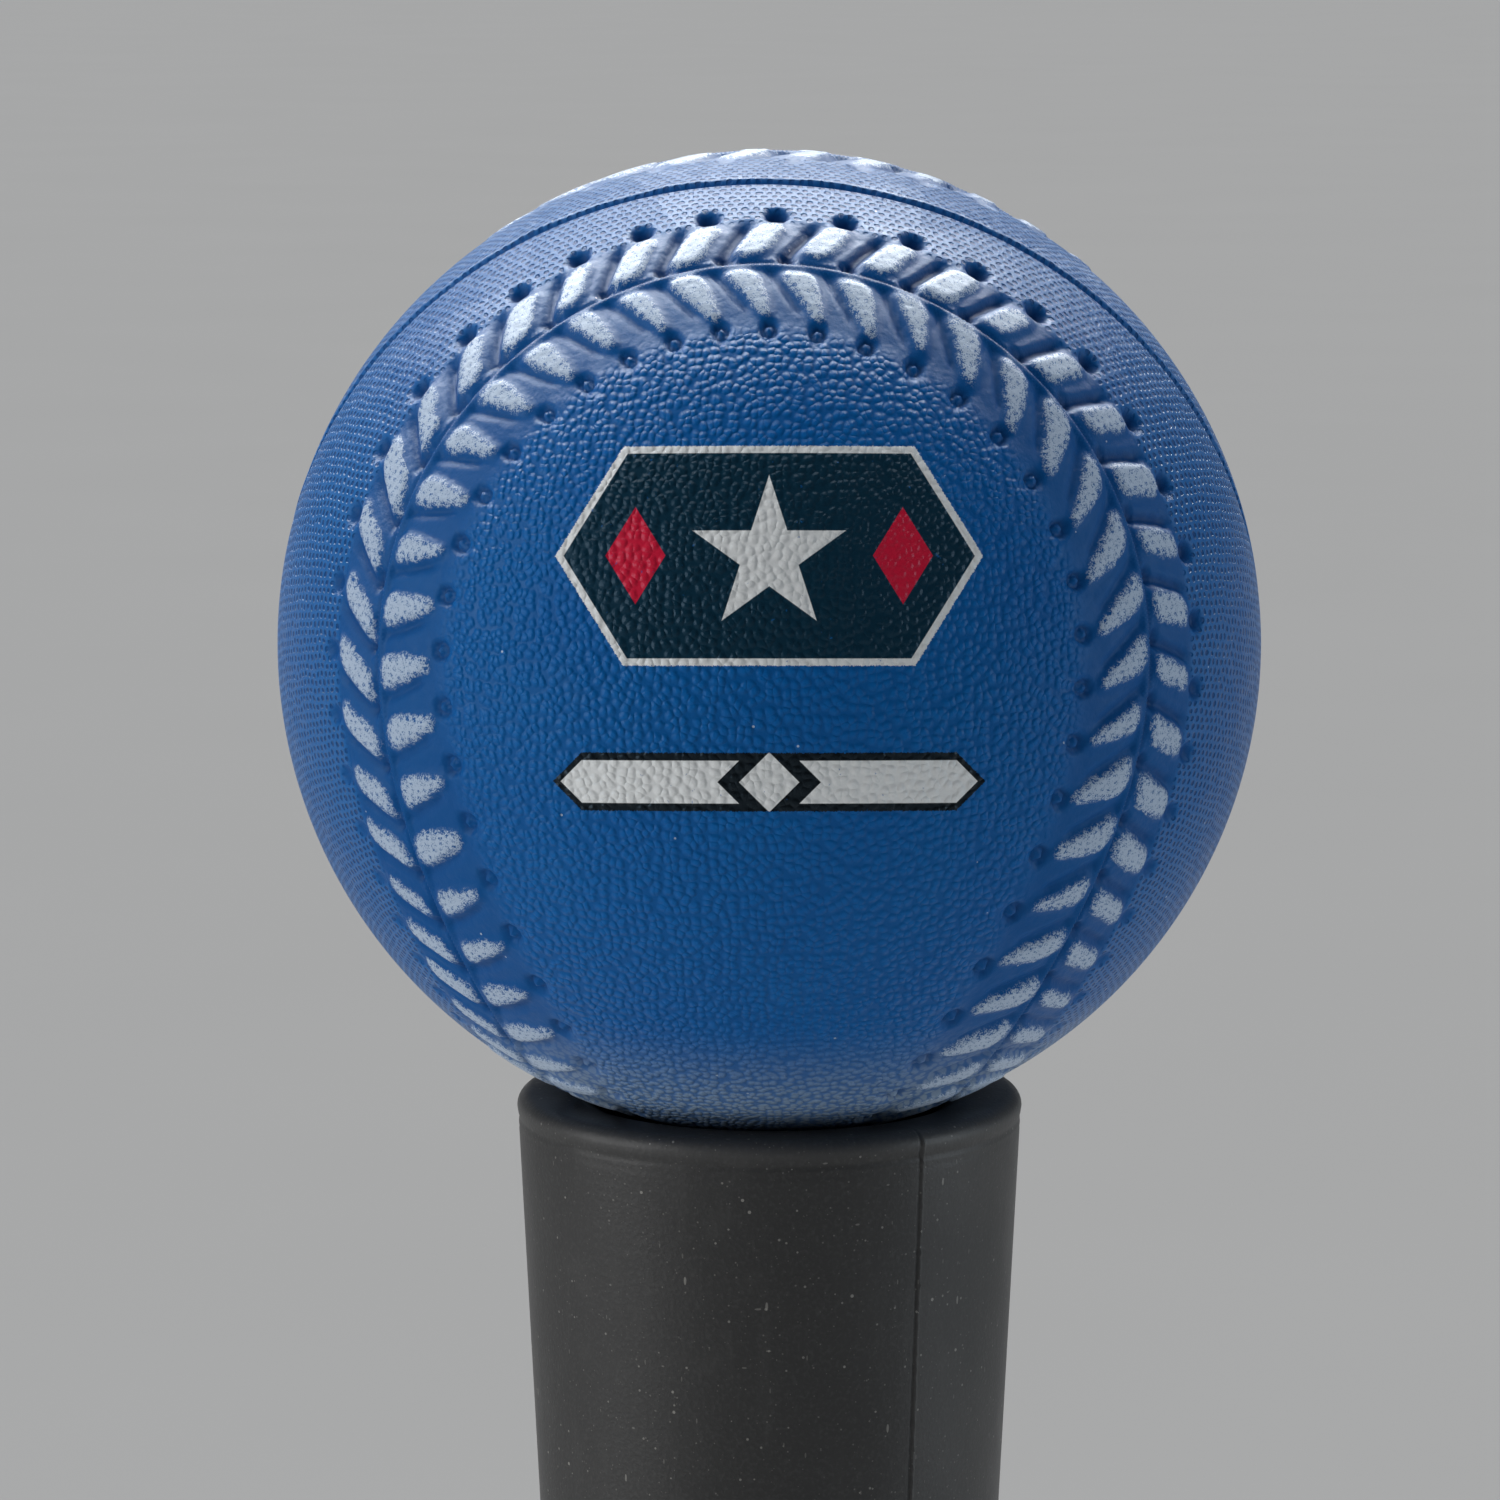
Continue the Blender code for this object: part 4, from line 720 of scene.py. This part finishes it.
def make_ball():
    """The foam ball: one skin with the seam, its stitches, the holes and the mould's parting line."""
    turn, parting_normal = ball_turn()
    seam = Seam(turn)
    pitch = seam.total / STITCHES

    # A fine grid along the seam.
    columns = int(seam.total / BAND_STEP)
    flank = np.arange(SEAM_REACH, BAND_REACH, BAND_STEP)
    middle = np.arange(-SEAM_REACH + SEAM_STEP, SEAM_REACH - SEAM_STEP / 2, SEAM_STEP)
    across = np.concatenate([-flank[::-1], middle, flank])
    along = np.arange(columns) * seam.total / columns
    band_along, band_across, band = [], [], []
    for row, offset in enumerate(across):
        here = along + (row % 2) * 0.5 * seam.total / columns
        centre, side = seam.frame(here)
        angle = offset / BALL_RADIUS_MM
        band.append(centre * math.cos(angle) + side * math.sin(angle))
        band_along.append(here)
        band_across.append(np.full(columns, offset))
    band = np.concatenate(band)

    # An even spread over the panels, and rows along the parting line.
    count = int(4 * math.pi * BALL_RADIUS_MM ** 2 / (PANEL_STEP ** 2 * math.sqrt(3) / 2))
    step = np.arange(count) + 0.5
    spin = step * math.pi * (1 + math.sqrt(5))
    level = 1 - 2 * step / count
    breadth = np.sqrt(1 - level ** 2)
    spread = np.column_stack([breadth * np.cos(spin), breadth * np.sin(spin), level])
    spread = spread[np.abs(spread @ parting_normal) * BALL_RADIUS_MM > PARTING_CLEARANCE]
    ring_side = unit(np.cross(parting_normal, [0, 0, 1]))
    ring_up = np.cross(parting_normal, ring_side)
    round_angle = np.arange(PARTING_ROW_POINTS) * 2 * math.pi / PARTING_ROW_POINTS
    for offset in np.arange(-3, 4) * PARTING_ROW_STEP:
        lift = offset / BALL_RADIUS_MM
        circle = np.outer(np.cos(round_angle), ring_side) + np.outer(np.sin(round_angle), ring_up)
        spread = np.concatenate([spread, circle * math.cos(lift) + parting_normal * math.sin(lift)])
    centre, side = seam.frame(along)
    nearest = np.concatenate([np.argmax(chunk @ centre.T, axis=1) for chunk in np.array_split(spread, 12)])
    distance = np.arcsin(np.clip(np.einsum("ij,ij->i", spread, side[nearest]), -1, 1)) * BALL_RADIUS_MM
    nearness = np.arccos(np.clip(np.einsum("ij,ij->i", spread, centre[nearest]), -1, 1)) * BALL_RADIUS_MM
    away = nearness > BAND_REACH + 0.5 * BAND_STEP
    spread, distance = spread[away], distance[away]

    directions = np.concatenate([band, spread])
    across = np.concatenate(band_across + [np.sign(distance) * (BAND_REACH + 1)])
    relief, patch = stitch_relief(np.concatenate(band_along), np.concatenate(band_across), pitch)
    height = np.concatenate([relief, np.zeros(len(spread))])
    margin = np.concatenate([patch, np.full(len(spread), -3.0)])

    # The parting line: a cut with a little flash standing beside it.
    offset = (directions @ parting_normal) * BALL_RADIUS_MM
    # Painted shade: how deep each point lies in the seam's grooves and holes.
    hollow_shade = np.clip(-(height + 0.25) / 0.45, 0, 1)
    smoothed = np.clip(-(height + 0.04) / 0.12, 0, 1)
    height -= PARTING_DEPTH * np.exp(-(offset / PARTING_WIDTH) ** 2)
    ripple = np.sin(directions @ np.array([40.0, 25, 30])) + np.sin(directions @ np.array([-20.0, 55, 20]))
    height += FLASH_HEIGHT * np.exp(-((offset - FLASH_PLACE) / FLASH_WIDTH) ** 2) * np.clip(1 + ripple, 0, 2)
    # Painted shade along the parting line's cut.
    hollow_shade = np.maximum(hollow_shade, 0.55 * np.exp(-(offset / (0.8 * PARTING_WIDTH)) ** 2))

    radius = (BALL_RADIUS_MM - PANEL_DROP + np.minimum(height, PANEL_DROP)) * MM
    points = directions * radius[:, None] + np.array(BALL_CENTRE)
    piece = mesh_object("foam_ball", points, triangulate(directions), ball_paint())
    store(piece, "stitch_paint", margin)
    store(piece, "hollow_shade", hollow_shade)
    bare = np.maximum(smoothed, np.clip(3 * hollow_shade, 0, 1))
    store(piece, "outer_grain", smooth_step(across, 4.9, 5.5) * (1 - bare))
    store(piece, "inner_grain", smooth_step(-across, 5.6, 8.4))
    seen = directions @ view_axes() * BALL_RADIUS_MM
    store(piece, "print_across", seen[:, 0])
    store(piece, "print_up", seen[:, 1])
    store(piece, "print_facing", seen[:, 2] / BALL_RADIUS_MM)
    # Painted reflection: how far each point is towards the ball's underside.
    store(piece, "underside_reflection", smooth_step(-directions[:, 2], 0.64, 0.92))

    # Flat maps of the skin, in millimetres: about each mould half's middle, and along the parting line.
    pole_up = unit(np.array([0, 0, 1]) - parting_normal * parting_normal[2])
    pole_side = np.cross(pole_up, parting_normal)
    ahead, aside, above = directions @ parting_normal, directions @ pole_side, directions @ pole_up
    turned = np.arctan2(aside, above)
    tilt = np.arccos(np.clip(np.abs(ahead), 0, 1)) * BALL_RADIUS_MM
    zero = np.zeros(len(directions))
    store(piece, "pebble_place", np.column_stack([tilt * np.sin(turned), tilt * np.cos(turned), zero]))
    from_line = np.arcsin(np.clip(ahead, -1, 1)) * BALL_RADIUS_MM
    store(piece, "lattice_place", np.column_stack([turned * BALL_RADIUS_MM, from_line, zero]))
    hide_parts("ball")
    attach(piece, "ball")


# ---------------------------------------------------------------- rubber top

# Depths below the rim, and radii, as the solids have them.
GRIP_RADIUS = 0.01525
TAPER_DEPTH = 0.080
CUP_BORE = 0.0132
NECK_BORE = 0.011
GRIP_BORE = 0.0130

# What only the skin has: the rounding of the rim, a painted highlight along the lip, and the two lines that
# its mould left, with their flash, their crease and the step between the mould's halves.
RIM_ROUNDING = 0.0011
LIP_HIGHLIGHT_DEPTH = 0.9 * MM
LIP_HIGHLIGHT_WIDTH = 0.5 * MM
MOULD_LINE = math.radians(-90 + 36)
MOULD_LINE_WIDTH = 0.11 * MM
MOULD_LINE_CLEARANCE = 0.075
MOULD_FLASH = 0.07 * MM
MOULD_CREASE = 0.08 * MM
MOULD_STEP = 0.04 * MM

# Faint rings under the rim, as (depth, dip), both in millimetres.
RIM_RINGS = ((1.6, 0), (1.8, 0.05), (2.0, 0.07), (2.2, 0.02), (2.4, 0), (2.7, 0.03), (2.9, 0))


def taper_radius(depth):
    return RIM_RADIUS + (GRIP_RADIUS - RIM_RADIUS) * min(depth / TAPER_DEPTH, 1)


def top_profile():
    """The outline as (radius, depth below the rim): from the lip down the outside, then back up the bore."""
    lip = []
    for step in range(9):
        angle = math.radians(90 - 90 * step / 8)
        lip.append((RIM_RADIUS - RIM_ROUNDING + RIM_ROUNDING * math.cos(angle),
                    RIM_ROUNDING * (1 - math.sin(angle))))
    length = RIM_HEIGHT - TOP_END
    ring = [(taper_radius(depth * MM) - dip * MM, depth * MM) for depth, dip in RIM_RINGS]
    depths = np.concatenate([np.linspace(0.0032, 0.034, 88), np.linspace(0.036, length - 0.0068, 36)])
    outside = ring + [(taper_radius(depth), depth) for depth in depths]
    bead = [(GRIP_RADIUS + 0.0004, length - 0.0060), (GRIP_RADIUS + 0.0009, length - 0.0052),
            (GRIP_RADIUS + 0.0010, length - 0.0044), (GRIP_RADIUS + 0.0010, length - 0.0012),
            (GRIP_RADIUS + 0.0008, length - 0.0004), (GRIP_RADIUS + 0.0002, length)]
    bore_depth = RIM_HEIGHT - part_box("upper_tube")[1].z - 0.0026
    inside = [(GRIP_BORE + 0.0004, length), (GRIP_BORE, length - 0.0006)]
    inside += [(GRIP_BORE, depth) for depth in np.linspace(length - 0.004, bore_depth, 12)]
    inside += [(NECK_BORE, depth) for depth in np.linspace(bore_depth - 0.0002, 0.044, 14)]
    inside += [(CUP_BORE, 0.038), (CUP_BORE, 0.026), (CUP_BORE, 0.012), (CUP_BORE, 0.0016)]
    inside += [(0.0134, 0.0010), (0.0137, 0.00065), (0.0151, 0.00005)]
    return lip + outside + bead, inside


def make_rubber_top():
    """The rubber top in one piece, with its mould's two parting lines."""
    outer, inner = top_profile()
    profile = outer + inner
    near = np.concatenate([[-1.2, -0.8], np.arange(-0.56, 0.57, 0.08), [0.8, 1.2]]) * MM / RIM_RADIUS
    even = np.linspace(0, 2 * math.pi, 144, endpoint=False)
    lines = [MOULD_LINE % (2 * math.pi), (MOULD_LINE + math.pi) % (2 * math.pi)]
    clear = [angle for angle in even
             if all(abs((angle - line + math.pi) % (2 * math.pi) - math.pi) > MOULD_LINE_CLEARANCE
                    for line in lines)]
    turns = np.sort(np.concatenate([clear] + [line + near for line in lines]) % (2 * math.pi))
    gaps = [(turns - line + math.pi) % (2 * math.pi) - math.pi for line in lines]
    gap = np.where(np.abs(gaps[0]) < np.abs(gaps[1]), gaps[0], gaps[1]) * RIM_RADIUS
    half = np.sin(turns - MOULD_LINE) > 0
    flash = np.exp(-((gap - 0.16 * MM) / MOULD_LINE_WIDTH) ** 2)
    crease = np.exp(-((gap + 0.08 * MM) / MOULD_LINE_WIDTH) ** 2)
    chance = np.random.default_rng(3)

    points, faces, far, lip_highlights = [], [], [], []
    count = len(turns)
    for index, (radius, depth) in enumerate(profile):
        outside = index < len(outer)
        nick = max(chance.normal(0.8, 0.5), 0) + 1.5 * (chance.random() > 0.93)
        line = flash * MOULD_FLASH * nick - crease * MOULD_CREASE + half * MOULD_STEP
        grown = radius + line * outside
        points += list(zip(grown * np.cos(turns), grown * np.sin(turns), np.full(count, RIM_HEIGHT - depth)))
        far += half.tolist()
        # Painted highlight: how near each point is to the band along the lip.
        lip_highlights += [math.exp(-((depth - LIP_HIGHLIGHT_DEPTH) / LIP_HIGHLIGHT_WIDTH) ** 2)] * count
    total = len(profile)
    for index in range(total):
        below = (index + 1) % total
        for turn in range(count):
            after = (turn + 1) % count
            faces.append((index * count + turn, below * count + turn,
                          below * count + after, index * count + after))
    piece = mesh_object("rubber_top", points, faces, top_paint())
    store(piece, "far_half", far)
    store(piece, "lip", lip_highlights)
    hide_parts("rubber_top_cup", "rubber_top_neck", "rubber_top_sleeve")
    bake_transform(piece)


# ---------------------------------------------------------------- pieces made from the CAD's solids

NYLON_BLACK, NYLON_SCUFF = (0.022, 0.022, 0.024), (0.090, 0.090, 0.090)
LEVER_BLUE, LEVER_SCUFF = (0.016, 0.075, 0.25), (0.09, 0.18, 0.38)
ZINC, ZINC_TINT = (0.50, 0.51, 0.53), (0.64, 0.63, 0.60)
DRAWN_STEEL, DRAWN_TINT = (0.46, 0.47, 0.49), (0.60, 0.60, 0.60)

# Each CAD piece that shows: the body that it rides on, and how far its edges are rounded, in millimetres.
SHOWN = {
    "base_plate": ("base", 1.2), "plate_panel": ("base", 0.3), "pole_socket": ("base", 0.7),
    "lower_tube": ("base", 0.2), "collar_liner": ("base", 0.2), "clamp_body": ("base", 0.5),
    "collar_screw": ("base", 0.2), "socket_screw": ("base", 0.2), "clamp_bolt": ("base", 0.25),
    "clamp_nut": ("base", 0.3), "clamp_saddle": ("base", 0.25), "lever_pin": ("base", 0.2),
    "clamp_lever": ("lever", 0.35), "upper_tube": ("mast", 0.2),
}
SHOWN.update({f"base_{kind}_{number}": ("base", 0.2)
              for kind in ("bolt", "washer", "nut") for number in range(1, 5)})

MERGE_DISTANCE = 0.01 * MM
FLAT_ANGLE = math.radians(0.5)
ROUNDED_ANGLE = math.radians(32)
SHARP_ANGLE = math.radians(50)
ROUNDING_STEPS = 3


def finishes():
    """For each material slot of the imported model, its finish on open faces and its finish along worn edges.
    """
    def pair(maker, name, *looks):
        return [maker(name + ending, *looks, worn) for ending, worn in (("", 0), ("_edge", 1))]
    return {
        "base_rubber": pair(slab_paint, "slab_rubber"),
        "panel_plastic": pair(panel_paint, "panel_white"),
        "moulded_plastic": pair(moulded_paint, "moulded_nylon", NYLON_BLACK, NYLON_SCUFF),
        "lever_plastic": pair(moulded_paint, "lever_nylon", LEVER_BLUE, LEVER_SCUFF),
        "fastener_steel": pair(steel_paint, "zinc_plate", ZINC, ZINC_TINT, (1, 1, 0.3)),
        "tube_steel": pair(steel_paint, "drawn_steel", DRAWN_STEEL, DRAWN_TINT, (1, 1, 0.02)),
        "tube_paint": pair(powder_paint, "powder_coat"),
    }


def apply_modifiers(piece):
    """Gives the piece the mesh that its modifiers make, and drops them."""
    made = bpy.data.meshes.new_from_object(piece.evaluated_get(bpy.context.evaluated_depsgraph_get()))
    piece.modifiers.clear()
    piece.data = made


def refine(node, body, rounding, looks):
    """A smooth copy of a CAD piece, with rounded edges, that stands for it."""
    shape = bmesh.new()
    shape.from_mesh(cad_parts[node].data)
    bmesh.ops.remove_doubles(shape, verts=shape.verts, dist=MERGE_DISTANCE)
    bmesh.ops.dissolve_limit(shape, angle_limit=FLAT_ANGLE, verts=shape.verts, edges=shape.edges)
    mesh = bpy.data.meshes.new(node + "_shown")
    shape.to_mesh(mesh)
    shape.free()
    mesh.materials.clear()
    for look in looks:
        mesh.materials.append(look)
    piece = bpy.data.objects.new(mesh.name, mesh)
    bpy.context.scene.collection.objects.link(piece)
    edges = piece.modifiers.new("edges", "BEVEL")
    edges.width = rounding * MM
    edges.segments = ROUNDING_STEPS
    edges.limit_method = "ANGLE"
    edges.angle_limit = ROUNDED_ANGLE
    edges.material = 1
    edges.harden_normals = True
    mesh.shade_smooth()
    apply_modifiers(piece)
    piece.data.set_sharp_from_angle(angle=SHARP_ANGLE)
    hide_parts(node)
    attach(piece, body)


def finish_cad():
    """Refines each CAD piece that shows, and gives the hidden ones their material."""
    looks = finishes()
    for node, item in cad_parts.items():
        slot = item.material_slots[0]
        kind = slot.material.name.split(".")[0]
        if node in SHOWN:
            body, rounding = SHOWN[node]
            refine(node, body, rounding, looks[kind])
        elif kind in looks:
            slot.material = looks[kind][0]


# ---------------------------------------------------------------- studio

def softbox(name, place, target, size, power, colour=(1, 1, 1)):
    """A rectangular area light that faces its target."""
    lamp = bpy.data.lights.new(name, "AREA")
    lamp.shape = "RECTANGLE"
    lamp.size, lamp.size_y = size
    lamp.energy = power
    lamp.color = colour
    item = bpy.data.objects.new(name, lamp)
    item.location = place
    item.rotation_euler = (Vector(target) - Vector(place)).to_track_quat("-Z", "Y").to_euler()
    item.visible_camera = False
    bpy.context.scene.collection.objects.link(item)
    return item


FLOOR_REACH = 60
BACK_PLACE, BACK_SIZE = (-0.04, 0.45, 1.15), (0.95, 0.30)


def make_studio():
    """A wide pale floor, soft light from both sides, from behind and from above, and a pale surround."""
    corners = [(FLOOR_REACH * x, FLOOR_REACH * y, 0) for x, y in ((-1, -1), (1, -1), (1, 1), (-1, 1))]
    floor = mesh_object("studio_floor", corners, [(0, 1, 2, 3)], floor_paint(), smooth=False)
    softbox("left_softbox", (-1.3, -0.45, 0.85), BALL_CENTRE, (0.9, 1.0), 10)
    softbox("right_softbox", (1.3, -0.10, 0.75), BALL_CENTRE, (0.6, 0.9), 4, (0.84, 0.93, 1))
    softbox("back_softbox", BACK_PLACE, BALL_CENTRE, BACK_SIZE, 2)
    shine = softbox("shine_softbox", BACK_PLACE, BALL_CENTRE, BACK_SIZE, 38)

    # This one is only mirrored: as plain light it would burn out the ball's far side.
    shine.visible_diffuse = False
    sky = bpy.data.lights.new("overhead", "SUN")
    sky.energy = 2.3
    sky.angle = math.radians(70)
    overhead = bpy.data.objects.new("overhead", sky)
    overhead.rotation_euler = Vector((0.15, -0.42, -0.9)).to_track_quat("-Z", "Y").to_euler()
    bpy.context.scene.collection.objects.link(overhead)
    world = bpy.data.worlds.new("surround")
    bpy.context.scene.world = world
    world.use_nodes = True
    tree = world.node_tree
    dim, pale = tree.nodes["Background"], tree.nodes.new("ShaderNodeBackground")
    dim.inputs["Color"].default_value = (0.80, 0.86, 0.95, 1)
    dim.inputs["Strength"].default_value = 0.12
    pale.inputs["Color"].default_value = (0.375, 0.377, 0.375, 1)
    choose, ray = tree.nodes.new("ShaderNodeMixShader"), tree.nodes.new("ShaderNodeLightPath")
    tree.links.new(ray.outputs["Is Camera Ray"], choose.inputs["Fac"])
    tree.links.new(dim.outputs[0], choose.inputs[1])
    tree.links.new(pale.outputs[0], choose.inputs[2])
    tree.links.new(choose.outputs[0], tree.nodes["World Output"].inputs["Surface"])


def make_camera():
    """The viewer: a little above the ball, which stands above the picture's middle."""
    axes = Matrix(view_axes().tolist())
    place = BALL_CENTRE + axes @ Vector((0, 0, CAMERA_DISTANCE))
    lens = bpy.data.cameras.new("camera")
    lens.lens = CAMERA_LENS
    lens.sensor_width = 36
    lens.clip_end = 200
    item = bpy.data.objects.new("camera", lens)
    aim = Matrix.Rotation(BALL_OFF_RIGHT, 3, "Y") @ Matrix.Rotation(-BALL_OFF_UP, 3, "X")
    item.matrix_world = Matrix.Translation(place) @ (axes @ aim).to_4x4()
    bpy.context.scene.collection.objects.link(item)
    bpy.context.scene.camera = item
    bpy.context.scene.view_settings.view_transform = "Standard"


make_camera()
make_studio()
make_ball()
make_rubber_top()
finish_cad()
